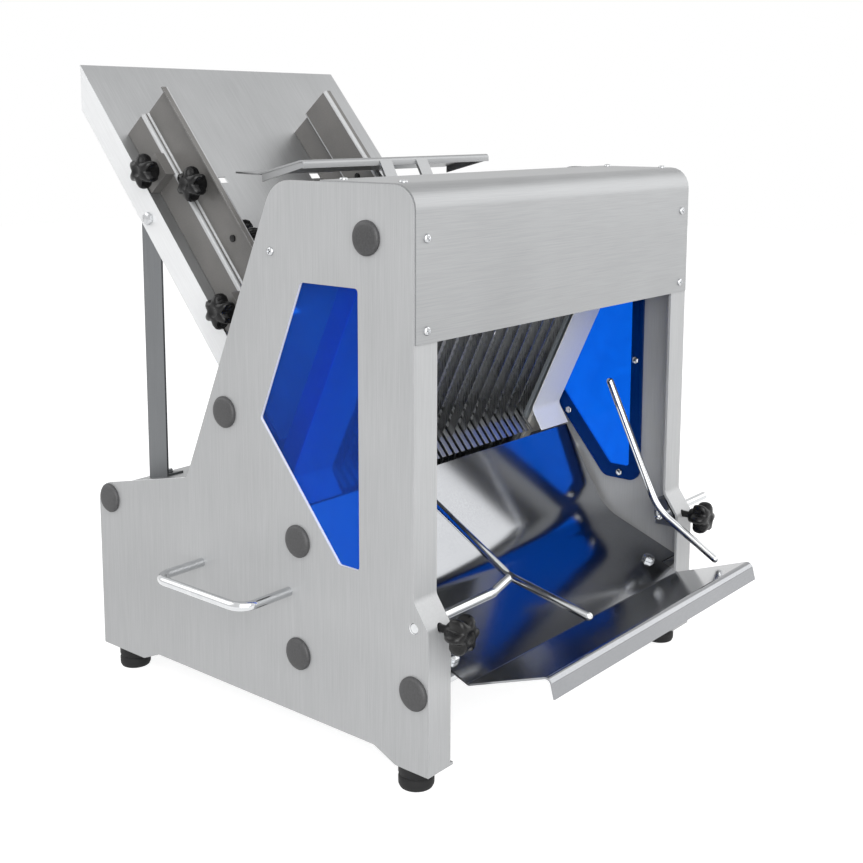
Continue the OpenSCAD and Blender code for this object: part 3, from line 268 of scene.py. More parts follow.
@dataclass(frozen=True)
class Plating(Finish):
    """Bright metal, polished or plated: a clear mirror with faint wiping marks."""

    light: str = "#D9DADB"
    dark: str = "#BDBFC1"
    smooth: float = 0.05
    rough: float = 0.14
    mark_mm: float = 18.0

    def paint(self, tree: bpy.types.NodeTree, shader: bpy.types.Node,
              place: bpy.types.NodeSocket) -> None:
        """Paints wiping marks that dull the mirror a little.

        Args:
            tree: Tree of the material.
            shader: Its shader.
            place: Object coordinates in metres.
        """
        marks = add_node(tree, "ShaderNodeTexNoise", inputs={
            "Vector": place, "Scale": 1 / (self.mark_mm * MM), "Detail": 4.0,
            "Distortion": 0.6}).outputs["Fac"]
        self.spread(tree, shader, marks, marks, marks)
        shader.inputs["Metallic"].default_value = 1.0


@dataclass(frozen=True)
class Coating(Finish):
    """Paint, moulded plastic or rubber: one colour with a fine skin of its own grit.

    Real grit is about 0.2 mm wide. It is drawn at grit_mm so that it shows, and the tone
    changes over drift times that width.
    """

    light: str = "#4A4A4A"
    dark: str = "#3C3C3C"
    smooth: float = 0.38
    rough: float = 0.52
    span: tuple[float, float] = (0.7, 1.3)
    grit_mm: float = 1.2
    drift: float = 40.0
    relief_mm: float = 0.05
    strength: float = 0.4
    gloss: float = 0.5

    def paint(self, tree: bpy.types.NodeTree, shader: bpy.types.Node,
              place: bpy.types.NodeSocket) -> None:
        """Paints grit in the skin and a slow change of tone over the piece.

        Args:
            tree: Tree of the material.
            shader: Its shader.
            place: Object coordinates in metres.
        """
        grit = add_node(tree, "ShaderNodeTexNoise", inputs={
            "Vector": place, "Scale": 1 / (self.grit_mm * MM), "Detail": 2.0})
        drift = add_node(tree, "ShaderNodeTexNoise", inputs={
            "Vector": place, "Scale": 1 / (self.grit_mm * self.drift * MM), "Detail": 2.0})
        both = add_node(tree, "ShaderNodeMath", {"operation": "ADD"}, {
            0: grit.outputs["Fac"], 1: drift.outputs["Fac"]})
        share = add_node(tree, "ShaderNodeMapRange", inputs={
            "Value": both.outputs[0], "From Min": self.span[0], "From Max": self.span[1]})
        self.spread(tree, shader, share.outputs["Result"], both.outputs[0],
                    grit.outputs["Fac"])
        shader.inputs["Specular IOR Level"].default_value = self.gloss


@dataclass(frozen=True)
class TintedAcrylic(Finish):
    """Cast acrylic, tinted through: deep colour, glossy, with a slow wave in its skin."""

    light: str = "#0A68E8"
    dark: str = "#0858D4"
    smooth: float = 0.05
    rough: float = 0.12
    clear: float = 0.85
    ior: float = 1.35
    gloss: float = 0.2
    wave_mm: float = 45.0
    relief_mm: float = 0.25
    strength: float = 0.5

    def paint(self, tree: bpy.types.NodeTree, shader: bpy.types.Node,
              place: bpy.types.NodeSocket) -> None:
        """Paints the tint and the wave of the cast skin.

        Args:
            tree: Tree of the material.
            shader: Its shader.
            place: Object coordinates in metres.
        """
        wave = add_node(tree, "ShaderNodeTexNoise", inputs={
            "Vector": place, "Scale": 1 / (self.wave_mm * MM), "Detail": 1.5,
            "Distortion": 1.4}).outputs["Fac"]
        self.spread(tree, shader, wave, wave, wave)
        shader.inputs["IOR"].default_value = self.ior
        shader.inputs["Specular IOR Level"].default_value = self.gloss
        shader.inputs["Specular Tint"].default_value = linear(self.light)
        shader.inputs["Transmission Weight"].default_value = self.clear


# Brushed by belt: a soft, even grey with fine upright lines.
PANEL_STEEL = SheetSteel("stainless_sheet_brushed_upright", "stainless", grain=Grain.HEIGHT,
                         metal=0.3)
# Cut edges of the panel: painted highlight, a pale rim round the panel where its thin edges
# catch the light.
CUT_EDGE_HIGHLIGHT = SheetSteel("stainless_edge_ground_after_cutting", "stainless", light="#F2F3F4",
                       dark="#E2E3E5", grain=Grain.HEIGHT, smooth=0.5, rough=0.65, metal=0.2)
# Brushed by belt: lines from side to side, a broad soft shine on the bend.
HOOD_STEEL = SheetSteel("stainless_sheet_brushed_across", "stainless", light="#A6A7A8",
                        dark="#949596", grain=Grain.ACROSS)
# Brushed by belt: lines that run down the slope.
CHUTE_STEEL = SheetSteel("stainless_sheet_brushed_down_the_chute", "stainless",
                         grain=Grain.CHUTE)
# Flanges that face sideways: painted highlight, brighter than the sheet beside it, brushed like
# the chute.
FLANGE_HIGHLIGHT = SheetSteel("stainless_flange_brushed_along", "stainless", light="#E8E9EA",
                          dark="#DADBDC", grain=Grain.CHUTE, metal=0.4)
# Rolled bright: a mirror, a little blurred, that shows panes and rods.
SLIDE_STEEL = SheetSteel("stainless_sheet_bright_rolled", "stainless", light="#9D9EA0",
                         dark="#888A8D", grain=Grain.DEPTH, smooth=0.1, rough=0.17,
                         relief_mm=0.008)
# Blasted with beads: pale and dull, with no mirror image.
GUARD_STEEL = SheetSteel("stainless_sheet_bead_blasted", "stainless", light="#F0F1F2",
                         dark="#E2E4E6", grain=Grain.HEIGHT, smooth=0.5, rough=0.62,
                         metal=0.1)
# Rolled channel, left as it came: a flat mid grey.
STRUT_STEEL = SheetSteel("stainless_channel_rolled", "stainless", light="#7F8183",
                         dark="#6F7173", grain=Grain.HEIGHT, smooth=0.45, rough=0.6)
# Ground: thin bright streaks along each blade.
BLADE_STEEL = SheetSteel("blade_steel_ground", "stainless", light="#B4B5B6", dark="#85878A",
                         grain=Grain.HEIGHT, smooth=0.2, rough=0.36, cloud_mm=25.0)
# Turned and milled: darker grey with close tool lines.
MACHINED_STEEL = SheetSteel("steel_machined", "machine_steel", light="#97999C",
                            dark="#7B7D80", grain=Grain.ACROSS, smooth=0.28, rough=0.42,
                            line_mm=0.7)
# Plated and polished: a clear mirror with dark and white bands.
CHROME = Plating("chrome_plate", "chrome")
# Zinc plated: small bright heads, duller than chrome.
BRIGHT_STEEL = Plating("zinc_plated_fastener", "bright_fastener", light="#CFD0D1",
                       dark="#A9ABAE", smooth=0.14, rough=0.26, mark_mm=4.0)
# Powder coat: warm dark grey with a low sheen.
GUIDE_PAINT = Coating("guide_powder_coat_dark_grey", "painted_grey", light="#6F6D6B",
                      dark="#5F5E5C", smooth=0.3, rough=0.44)
# Painted highlight: a thin pale line along the guide's narrow edges and folds.
GUIDE_EDGE_HIGHLIGHT = SheetSteel("guide_edge_rubbed_bright", "painted_grey", light="#BEBFC0",
                       dark="#A8A9AA", grain=Grain.CHUTE, metal=0.4)
# Moulded with a grained face: speckled dark grey.
CAP_PLASTIC = Coating("cap_moulded_dark_grey", "grey_plastic", light="#4A4A4B",
                      dark="#333334", smooth=0.42, rough=0.56, grit_mm=2.0)
# Moulded phenolic: black with small sharp lights on its lobes.
KNOB_PLASTIC = Coating("knob_moulded_phenolic_black", "black_plastic", light="#0E0E0F",
                       dark="#070708", smooth=0.18, rough=0.3, grit_mm=0.9, gloss=0.3)
# Moulded rubber: dull black.
FOOT_RUBBER = Coating("foot_rubber_black", "rubber", light="#1B1B1C", dark="#111112",
                      smooth=0.6, rough=0.8, grit_mm=0.7, gloss=0.35)
# Enamel on castings and frames: plain grey, half gloss.
FRAME_PAINT = Coating("frame_enamel_grey", "painted_steel", light="#868C90", dark="#767C80",
                      smooth=0.34, rough=0.5)
# Milled nylon: off-white and waxy.
RAIL_NYLON = Coating("rail_nylon_white", "white_plastic", light="#E6E4DE", dark="#D5D3CC",
                     smooth=0.36, rough=0.5)
# Moulded plastic: dark grey, half matt.
SWITCH_PLASTIC = Coating("switch_moulded_grey", "grey_plastic", light="#3D3E40",
                         dark="#333436", smooth=0.36, rough=0.5, grit_mm=0.6)
# Moulded plastic: glossy green.
GREEN_PLASTIC = Coating("button_moulded_green", "green_plastic", light="#1E8A3C",
                        dark="#187432", smooth=0.18, rough=0.28, grit_mm=2.0)
# Moulded plastic: glossy red.
RED_PLASTIC = Coating("button_moulded_red", "red_plastic", light="#C22A22", dark="#A8221C",
                      smooth=0.18, rough=0.28, grit_mm=2.0)
# Cast acrylic: deep clear blue.
BLUE_PANE = TintedAcrylic("window_acrylic_blue", "blue_acrylic")


# Shapes


def cleaned(mesh: bpy.types.Mesh) -> bpy.types.Mesh:
    """Closes a mesh and turns its faces outward.

    Args:
        mesh: Mesh that is changed.

    Returns:
        The same mesh, with merged doubles, filled ends and a smooth skin.
    """
    work = bmesh.new()
    work.from_mesh(mesh)
    bmesh.ops.remove_doubles(work, verts=work.verts, dist=MERGE)
    rims = [e for e in work.edges if e.is_boundary]
    if rims:
        bmesh.ops.holes_fill(work, edges=rims, sides=0)
    bmesh.ops.recalc_face_normals(work, faces=work.faces)
    work.to_mesh(mesh)
    work.free()
    mesh.shade_smooth()
    mesh.set_sharp_from_angle(angle=math.radians(SHARP_DEG))
    return mesh


def merged_form(node: str) -> bmesh.types.BMesh:
    """Reads a CAD node as one merged form with its flat faces whole.

    Args:
        node: Name of the node.

    Returns:
        A new edit mesh that the caller frees.
    """
    work = bmesh.new()
    work.from_mesh(frame["nodes"][node].data)
    bmesh.ops.remove_doubles(work, verts=work.verts, dist=MERGE)
    bmesh.ops.dissolve_limit(work, angle_limit=math.radians(FLAT_DEG), verts=work.verts,
                             edges=work.edges)
    return work


def body_of(node: str) -> str:
    """Returns the body that a CAD node rides on."""
    return frame["nodes"][node]["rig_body"]


def placed(name: str, mesh: bpy.types.Mesh, finish: Finish,
           nodes: Sequence[str]) -> bpy.types.Object:
    """Adds a finished mesh to the machine in the place of its CAD nodes.

    Args:
        name: Name of the piece.
        mesh: Its mesh, in place.
        finish: Its finish.
        nodes: CAD nodes of one body that it stands for.

    Returns:
        The piece.
    """
    mesh.name = name
    mesh.materials.clear()
    mesh.materials.append(finish.material())
    mesh.polygons.foreach_set("material_index", [0] * len(mesh.polygons))
    piece = bpy.data.objects.new(name, mesh)
    bpy.context.scene.collection.objects.link(piece)
    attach(piece, body_of(nodes[0]))
    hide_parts(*nodes)
    return piece


def modified(mesh: bpy.types.Mesh, kind: str, settings: dict[str, Any]) -> bpy.types.Mesh:
    """Runs one modifier on a mesh.

    Args:
        mesh: Mesh that is read.
        kind: Type name of the modifier.
        settings: Properties of the modifier.

    Returns:
        A plain mesh with the result.
    """
    carrier = bpy.data.objects.new("carrier", mesh)
    bpy.context.scene.collection.objects.link(carrier)
    step = carrier.modifiers.new("step", kind)
    for name, value in settings.items():
        setattr(step, name, value)
    graph = bpy.context.evaluated_depsgraph_get()
    made = bpy.data.meshes.new_from_object(carrier.evaluated_get(graph), depsgraph=graph)
    bpy.data.objects.remove(carrier)
    return made


def rounded(node: str, finish: Finish, radius_mm: float,
            segments: int = 2) -> bpy.types.Object:
    """Dresses a CAD node with rounded edges and flat faces that shade flat.

    Args:
        node: Name of the node.
        finish: Its finish.
        radius_mm: Width of the rounding.
        segments: Steps of the rounding.

    Returns:
        The piece that stands for the node.
    """
    mesh = bpy.data.meshes.new(node)
    work = merged_form(node)
    work.to_mesh(mesh)
    work.free()
    mesh.shade_smooth()
    soft = modified(mesh, "BEVEL", {
        "width": radius_mm * MM, "segments": segments, "limit_method": "ANGLE",
        "angle_limit": math.radians(ROUND_DEG)})
    soft.set_sharp_from_angle(angle=math.radians(SHARP_DEG))
    flat = modified(soft, "WEIGHTED_NORMAL", {"weight": 100, "keep_sharp": True})
    return placed(f"{node}_dressed", flat, finish, [node])


def refinished(node: str, finish: Finish) -> bpy.types.Object:
    """Gives a CAD node that stays its own finish.

    Args:
        node: Name of the node.
        finish: Its finish.

    Returns:
        The node's object.
    """
    piece = frame["nodes"][node]
    piece.data.materials.clear()
    piece.data.materials.append(finish.material())
    return piece


def joint_of(body: str) -> dict[str, Any]:
    """Returns the joint whose child is the body."""
    return next(j for j in frame["joints"] if j["child"] == body)


@dataclass(frozen=True)
class Spot:
    """A place on the machine and the way that it faces."""

    place: Vector
    facing: Vector


def head_spots(node: str, drop: float) -> list[Spot]:
    """Finds the solids of a node and where each one faces.

    Args:
        node: Node of separate heads, each with its largest flat face outward.
        drop: Distance from that face down to the seat, in metres.

    Returns:
        One spot for each solid, on its seat.
    """
    work = merged_form(node)
    seen: set[bmesh.types.BMFace] = set()
    spots: list[Spot] = []
    for first in work.faces:
        if first in seen:
            continue
        seen.add(first)
        island = [first]
        for face in island:
            near = dict.fromkeys(f for e in face.edges for f in e.link_faces if f not in seen)
            seen.update(near)
            island.extend(near)
        top = max(island, key=lambda f: f.calc_area())
        spots.append(Spot(top.calc_center_median() - top.normal * drop, top.normal.copy()))
    work.free()
    return spots


# Geometry node trees

# Kind and settings of the sums that the trees are made of.
MATH = "ShaderNodeMath"
TIMES = {"operation": "MULTIPLY"}
OVER = {"operation": "DIVIDE"}
MINUS = {"operation": "SUBTRACT"}
REST = {"operation": "MODULO"}
FLOOR = {"operation": "FLOOR"}
SIZE = {"operation": "ABSOLUTE"}
SINE = {"operation": "SINE"}
COSINE = {"operation": "COSINE"}


class Tree:
    """A geometry node tree with named inputs, grown on a small mesh of places."""

    def __init__(self, name: str, sizes: dict[str, tuple[str, Any]]) -> None:
        """Makes the tree.

        Args:
            name: Name of the tree.
            sizes: Kind of socket and value for each named input.
        """
        self.group = bpy.data.node_groups.new(name, "GeometryNodeTree")
        face = self.group.interface
        face.new_socket("Places", in_out="INPUT", socket_type="NodeSocketGeometry")
        face.new_socket("Result", in_out="OUTPUT", socket_type="NodeSocketGeometry")
        self.keys: dict[str, str] = {}
        self.values = {label: value for label, (_, value) in sizes.items()}
        for label, (kind, _) in sizes.items():
            socket = face.new_socket(label, in_out="INPUT", socket_type=f"NodeSocket{kind}")
            self.keys[label] = socket.identifier
        self.source = self.group.nodes.new("NodeGroupInput")

    def given(self, label: str) -> bpy.types.NodeSocket:
        """Returns the socket of a named input."""
        return self.source.outputs[label]

    def add(self, kind: str, settings: dict[str, Any] | None = None,
            inputs: dict[str | int, Any] | None = None) -> bpy.types.Node:
        """Adds a node to the tree."""
        return add_node(self.group, kind, settings, inputs)

    def out(self, kind: str, settings: dict[str, Any] | None = None,
            inputs: dict[str | int, Any] | None = None) -> bpy.types.NodeSocket:
        """Adds a node to the tree and returns its first output."""
        return self.add(kind, settings, inputs).outputs[0]

    def table(self, rows: Sequence[float], index: bpy.types.NodeSocket) -> bpy.types.NodeSocket:
        """Looks a number up by its row.

        Args:
            rows: The numbers.
            index: Socket with the row.

        Returns:
            Socket with the number of that row.
        """
        node = self.add("GeometryNodeIndexSwitch", {"data_type": "FLOAT"})
        while len(node.index_switch_items) < len(rows):
            node.index_switch_items.new()
        for i, value in enumerate(rows):
            node.inputs[i + 1].default_value = value
        self.group.links.new(index, node.inputs[0])
        return node.outputs[0]

    def finish(self, shape: bpy.types.NodeSocket) -> None:
        """Realizes the shape, sets its material and ends the tree.

        Args:
            shape: Socket with the shape.
        """
        real = self.out("GeometryNodeRealizeInstances", inputs={"Geometry": shape})
        dressed = self.out("GeometryNodeSetMaterial", inputs={
            "Geometry": real, "Material": self.given("Finish")})
        self.add("NodeGroupOutput", inputs={"Result": dressed})

    def grow(self, places: bpy.types.Mesh, finish: Finish) -> bpy.types.Mesh:
        """Grows the tree on its places.

        Args:
            places: Mesh of points, or of edges for a path.
            finish: Finish of the result.

        Returns:
            A plain mesh.
        """
        carrier = bpy.data.objects.new("carrier", places)
        bpy.context.scene.collection.objects.link(carrier)
        grown = carrier.modifiers.new("grown", "NODES")
        grown.node_group = self.group
        for label, value in self.values.items():
            grown[self.keys[label]] = finish.material() if label == "Finish" else value
        graph = bpy.context.evaluated_depsgraph_get()
        mesh = bpy.data.meshes.new_from_object(carrier.evaluated_get(graph), depsgraph=graph)
        carrier.modifiers.clear()
        bpy.data.objects.remove(carrier)
        return cleaned(mesh)


def spot_mesh(spots: Iterable[Spot]) -> bpy.types.Mesh:
    """Makes a mesh of points that carry the way they face.

    Args:
        spots: The places.

    Returns:
        A mesh of loose points with a vector attribute.
    """
    listed = list(spots)
    mesh = bpy.data.meshes.new("spots")
    mesh.from_pydata([s.place for s in listed], [], [])
    facing = mesh.attributes.new("facing", "FLOAT_VECTOR", "POINT")
    facing.data.foreach_set("vector", [c for s in listed for c in s.facing])
    return mesh


@dataclass(frozen=True)
class TurnedForm:
    """A turned solid as rings of radius and height, shares of half its diameter and height.

    A count of lobes scallops the rings, each by its own share of the depth.
    """

    label: str
    diameter: float
    height: float
    rings: tuple[tuple[float, float], ...]
    steps: int = 32
    lobes: int = 0
    depth: float = 0.0
    lobe_shares: tuple[float, ...] = ()

    def sizes(self) -> dict[str, tuple[str, Any]]:
        """Returns the named inputs that the form needs."""
        return {f"{self.label} diameter": ("Float", self.diameter),
                f"{self.label} height": ("Float", self.height)}

    def socket(self, tree: Tree) -> bpy.types.NodeSocket:
        """Builds the form in a tree.

        Args:
            tree: Tree with the form's inputs.

        Returns:
            Socket with the closed form, standing on the origin along Z.
        """
        rows = len(self.rings)
        grid = tree.add("GeometryNodeMeshGrid", inputs={
            "Vertices X": self.steps + 1, "Vertices Y": rows})
        index = tree.out("GeometryNodeInputIndex")
        row = tree.out(MATH, REST, {0: index, 1: rows})
        step = tree.out(MATH, FLOOR, {0: tree.out(MATH, OVER, {0: index, 1: rows})})
        turn = tree.out(MATH, TIMES, {0: step, 1: math.tau / self.steps})
        half = tree.out(MATH, TIMES, {0: tree.given(f"{self.label} diameter"), 1: 0.5})
        radius = tree.out(MATH, TIMES, {
            0: tree.table([r for r, _ in self.rings], row), 1: half})
        if self.lobes:
            wave = tree.out(MATH, COSINE, {
                0: tree.out(MATH, TIMES, {0: turn, 1: self.lobes})})
            dent = tree.out(MATH, TIMES, {
                0: tree.out(MATH, MINUS, {0: 1.0, 1: wave}), 1: self.depth * 0.5})
            share = tree.out(MATH, TIMES, {0: dent, 1: tree.table(self.lobe_shares, row)})
            radius = tree.out(MATH, TIMES, {
                0: radius, 1: tree.out(MATH, MINUS, {0: 1.0, 1: share})})
        rise = tree.out(MATH, TIMES, {
            0: tree.table([h for _, h in self.rings], row),
            1: tree.given(f"{self.label} height")})
        spot = tree.out("ShaderNodeCombineXYZ", inputs={
            "X": tree.out(MATH, TIMES, {0: radius, 1: tree.out(MATH, COSINE, {0: turn})}),
            "Y": tree.out(MATH, TIMES, {0: radius, 1: tree.out(MATH, SINE, {0: turn})}),
            "Z": rise})
        shaped = tree.out("GeometryNodeSetPosition", inputs={
            "Geometry": grid.outputs["Mesh"], "Position": spot})
        return tree.out("GeometryNodeMergeByDistance", inputs={
            "Geometry": shaped, "Distance": MERGE})


@dataclass(frozen=True)
class CrossRecess:
    """A driver recess: length and width of its arms and its depth below the head's top."""

    length: float
    width: float
    depth: float

    def sizes(self) -> dict[str, tuple[str, Any]]:
        """Returns the named inputs that the recess needs."""
        return {"Recess length": ("Float", self.length), "Recess width": ("Float", self.width),
                "Recess depth": ("Float", self.depth)}

    def cut(self, tree: Tree, head: bpy.types.NodeSocket,
            top: bpy.types.NodeSocket) -> bpy.types.NodeSocket:
        """Cuts the recess.

        Args:
            tree: Tree with the recess's inputs.
            head: Socket with the head.
            top: Socket with the head's height.

        Returns:
            Socket with the cut head.
        """
        deep = tree.out(MATH, TIMES, {0: tree.given("Recess depth"), 1: 2.0})
        lift = tree.out("ShaderNodeCombineXYZ", inputs={"Z": top})
        arms = []
        for names in (("Recess length", "Recess width"), ("Recess width", "Recess length")):
            size = tree.out("ShaderNodeCombineXYZ", inputs={
                "X": tree.given(names[0]), "Y": tree.given(names[1]), "Z": deep})
            block = tree.add("GeometryNodeMeshCube", inputs={"Size": size})
            arms.append(tree.out("GeometryNodeTransform", inputs={
                "Geometry": block.outputs["Mesh"], "Translation": lift}))
        node = tree.add("GeometryNodeMeshBoolean", {"operation": "DIFFERENCE"},
                        {"Mesh 1": head})
        for arm in reversed(arms):
            tree.group.links.new(arm, node.inputs["Mesh 2"])
        return node.outputs["Mesh"]


def turned_tree(name: str, forms: Sequence[TurnedForm],
                recess: CrossRecess | None = None) -> Tree:
    """Makes a tree that sets turned forms on every spot.

    Args:
        name: Name of the tree.
        forms: Forms on one axis, the first one with the recess.
        recess: Driver recess, or none.

    Returns:
        The tree.
    """
    sizes: dict[str, tuple[str, Any]] = {}
    for form in forms:
        sizes.update(form.sizes())
    if recess:
        sizes.update(recess.sizes())
    tree = Tree(name, {**sizes, "Finish": ("Material", None)})
    solids = [form.socket(tree) for form in forms]
    if recess:
        solids[0] = recess.cut(tree, solids[0], tree.given(f"{forms[0].label} height"))
    whole = tree.add("GeometryNodeJoinGeometry")
    for solid in reversed(solids):
        tree.group.links.new(solid, whole.inputs[0])
    facing = tree.add("GeometryNodeInputNamedAttribute", {"data_type": "FLOAT_VECTOR"},
                      {"Name": "facing"})
    turn = tree.out("FunctionNodeAlignRotationToVector", {"axis": "Z"},
                    {"Vector": facing.outputs["Attribute"]})
    tree.finish(tree.out("GeometryNodeInstanceOnPoints", inputs={
        "Points": tree.given("Places"), "Instance": whole.outputs[0], "Rotation": turn}))
    return tree


def bent_bar_tree(diameter: float, bend_radius: float) -> Tree:
    """Makes a tree that bends a round bar along a path and rounds its ends.

    Args:
        diameter: Thickness of the bar, in metres.
        bend_radius: Radius of its bends.

    Returns:
        The tree, which grows on a mesh of edges.
    """
    tree = Tree("bent_bar", {"Diameter": ("Float", diameter), "Bend": ("Float", bend_radius),
                             "Finish": ("Material", None)})
    path = tree.out("GeometryNodeMeshToCurve", inputs={"Mesh": tree.given("Places")})
    bent = tree.out("GeometryNodeFilletCurve", {"mode": "POLY"}, {
        "Curve": path, "Count": 12, "Radius": tree.given("Bend"), "Limit Radius": True})
    half = tree.out(MATH, TIMES, {0: tree.given("Diameter"), 1: 0.5})
    ring = tree.out("GeometryNodeCurvePrimitiveCircle", inputs={
        "Resolution": 24, "Radius": half})
    tree.finish(tree.out("GeometryNodeCurveToMesh", inputs={
        "Curve": bent, "Profile Curve": ring, "Fill Caps": True}))
    return tree


def joined(meshes: Sequence[bpy.types.Mesh]) -> bpy.types.Mesh:
    """Joins meshes.

    Args:
        meshes: Meshes with one material, the first of which is changed.

    Returns:
        The first mesh, with the faces of all of them.
    """
    work = bmesh.new()
    for mesh in meshes:
        work.from_mesh(mesh)
    work.to_mesh(meshes[0])
    work.free()
    return meshes[0]


def path_mesh(points: Sequence[Vector]) -> bpy.types.Mesh:
    """Makes a path.

    Args:
        points: Its points in order.

    Returns:
        A mesh of edges through the points.
    """
    mesh = bpy.data.meshes.new("path")
    mesh.from_pydata(list(points), [(i, i + 1) for i in range(len(points) - 1)], [])
    return mesh


# Sub-assemblies


@dataclass
class Cabinet:
    """Side panels, hood, covers, feet, handles, caps and the screws of the hood."""

    panel_edge_mm: float = 1.2
    sheet_t_mm: float = 3.0
    sheet_edge_mm: float = 0.5
    foot_d_mm: float = 36.0
    foot_h_mm: float = 24.0
    cap_d_mm: float = 34.0
    cap_h_mm: float = 5.0
    screw_d_mm: float = 9.0
    screw_h_mm: float = 2.5
    recess_l_mm: float = 5.4
    recess_w_mm: float = 1.3
    bar_d_mm: float = 10.0
    bar_bend_mm: float = 18.0

    def build(self) -> list[bpy.types.Object]:
        """Builds and dresses the cabinet.

        Returns:
            Its pieces.
        """
        made = [self.panel(side) for side in Side]
        made.append(rounded("hood", HOOD_STEEL, self.sheet_edge_mm))
        made.append(rounded("rear_cover", HOOD_STEEL, self.sheet_edge_mm))
        made.append(rounded("base_plate", FRAME_PAINT, self.panel_edge_mm))
        made.append(refinished("tie_bars", CHROME))
        made += [self.feet(), self.caps(), self.screws()]
        made += [self.handle(side) for side in Side]
        return made

    def panel(self, side: Side) -> bpy.types.Object:
        """Dresses one side panel, with a painted highlight on the edges where its sheet was
        cut.

        Args:
            side: Side that it is on.

        Returns:
            The panel.
        """
        piece = rounded(f"{side.word}_side_panel", PANEL_STEEL, self.panel_edge_mm)
        mesh = piece.data
        mesh.materials.append(CUT_EDGE_HIGHLIGHT.material())
        reach = max(abs(v.co.x) for v in mesh.vertices) - self.sheet_t_mm * MM - MERGE
        # Faces on the sheet's thin edges get the pale copy of the steel: a painted highlight.
        for face in mesh.polygons:
            on_sheet = all(abs(mesh.vertices[i].co.x) > reach for i in face.vertices)
            if on_sheet and abs(face.normal.x) < SIDEWAYS:
                face.material_index = 1
        return piece

    def feet(self) -> bpy.types.Object:
        """Grows the rubber feet, each with a soft tread and a waist.

        Returns:
            The four feet.
        """
        form = TurnedForm("Foot", self.foot_d_mm * MM, self.foot_h_mm * MM, (
            (0, 0), (0.5, 0), (0.8, 0.01), (0.92, 0.05), (0.99, 0.16), (1, 0.28), (1, 0.46),
            (0.97, 0.52), (0.93, 0.54), (0.93, 0.6), (0.97, 0.62), (1, 0.67), (1, 1), (0, 1)),
            steps=40)
        tree = turned_tree("rubber_feet", [form])
        spots = [Spot(s.place - Vector((0, 0, s.place.z)), Vector((0, 0, 1)))
                 for s in head_spots("feet", 0.0)]
        return placed("rubber_feet", tree.grow(spot_mesh(spots), FOOT_RUBBER), FOOT_RUBBER,
                      ["feet"])

    def caps(self) -> bpy.types.Object:
        """Grows the push-on caps over the tie bar bolts.

        Returns:
            The twelve caps.
        """
        form = TurnedForm("Cap", self.cap_d_mm * MM, self.cap_h_mm * MM, (
            (0, 1), (0.5, 0.99), (0.72, 0.95), (0.84, 0.84), (0.92, 0.66), (0.955, 0.5),
            (0.965, 0.4), (1, 0.37), (1, 0.05), (0.98, 0), (0, 0)), steps=48)
        tree = turned_tree("bolt_caps", [form])
        spots = head_spots("panel_caps", self.cap_h_mm * MM)
        return placed("bolt_caps", tree.grow(spot_mesh(spots), CAP_PLASTIC), CAP_PLASTIC,
                      ["panel_caps"])

    def screws(self) -> bpy.types.Object:
        """Grows the pan head screws of the hood and of the pusher's pivot.

        Returns:
            The screws.
        """
        head = TurnedForm("Head", self.screw_d_mm * MM, self.screw_h_mm * MM, (
            (0, 1), (0.4, 0.98), (0.68, 0.88), (0.88, 0.66), (0.98, 0.34), (1, 0.12),
            (0.99, 0), (0, 0)), steps=28)
        tree = turned_tree("pan_head_screws", [head],
                           CrossRecess(self.recess_l_mm * MM, self.recess_w_mm * MM,
                                       self.recess_w_mm * MM))
        spots = head_spots("hood_screws", self.screw_h_mm * MM)
        return placed("pan_head_screws", tree.grow(spot_mesh(spots), BRIGHT_STEEL),
                      BRIGHT_STEEL, ["hood_screws"])

    def handle(self, side: Side) -> bpy.types.Object:
        """Bends one carrying handle.

        Args:
            side: Side that it is on.

        Returns:
            The handle.
        """
        node = f"{side.word}_handle"
        low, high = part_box(node)
        half = self.bar_d_mm * MM / 2
        level = (low.z + high.z) / 2
        near, far = (high.x, low.x + half) if side is Side.LEFT else (low.x, high.x - half)
        tree = bent_bar_tree(self.bar_d_mm * MM, self.bar_bend_mm * MM)
        path = [Vector((near, low.y + half, level)), Vector((far, low.y + half, level)),
                Vector((far, high.y - half, level)), Vector((near, high.y - half, level))]
        return placed(f"{node}_bar", tree.grow(path_mesh(path), CHROME), CHROME, [node])


@dataclass
class Windows:
    """Tinted panes behind the side panels and the nuts that hold them."""

    pane_edge_mm: float = 0.8
    nut_w_mm: float = 8.0
    nut_h_mm: float = 4.0
    dome_share: float = 0.86

    def build(self) -> list[bpy.types.Object]:
        """Builds and dresses the panes.

        Returns:
            Two panes and their nuts.
        """
        made = [rounded(f"{side.word}_window_pane", BLUE_PANE, self.pane_edge_mm)
                for side in Side]
        across = self.nut_w_mm * MM * HEXAGON
        flats = TurnedForm("Nut", across, self.nut_h_mm * MM, (
            (0, 0.8), (0.8, 0.8), (1, 0.62), (1, 0), (0, 0)), steps=6)
        dome = TurnedForm("Dome", self.nut_w_mm * self.dome_share * MM, self.nut_h_mm * MM, (
            (0, 1), (0.35, 0.97), (0.7, 0.9), (0.95, 0.8), (1, 0.7), (1, 0.3), (0, 0.3)),
            steps=20)
        tree = turned_tree("pane_nuts", [flats, dome])
        spots = head_spots("pane_nuts", self.nut_h_mm * MM)
        made.append(placed("pane_dome_nuts", tree.grow(spot_mesh(spots), BRIGHT_STEEL),
                           BRIGHT_STEEL, ["pane_nuts"]))
        return made


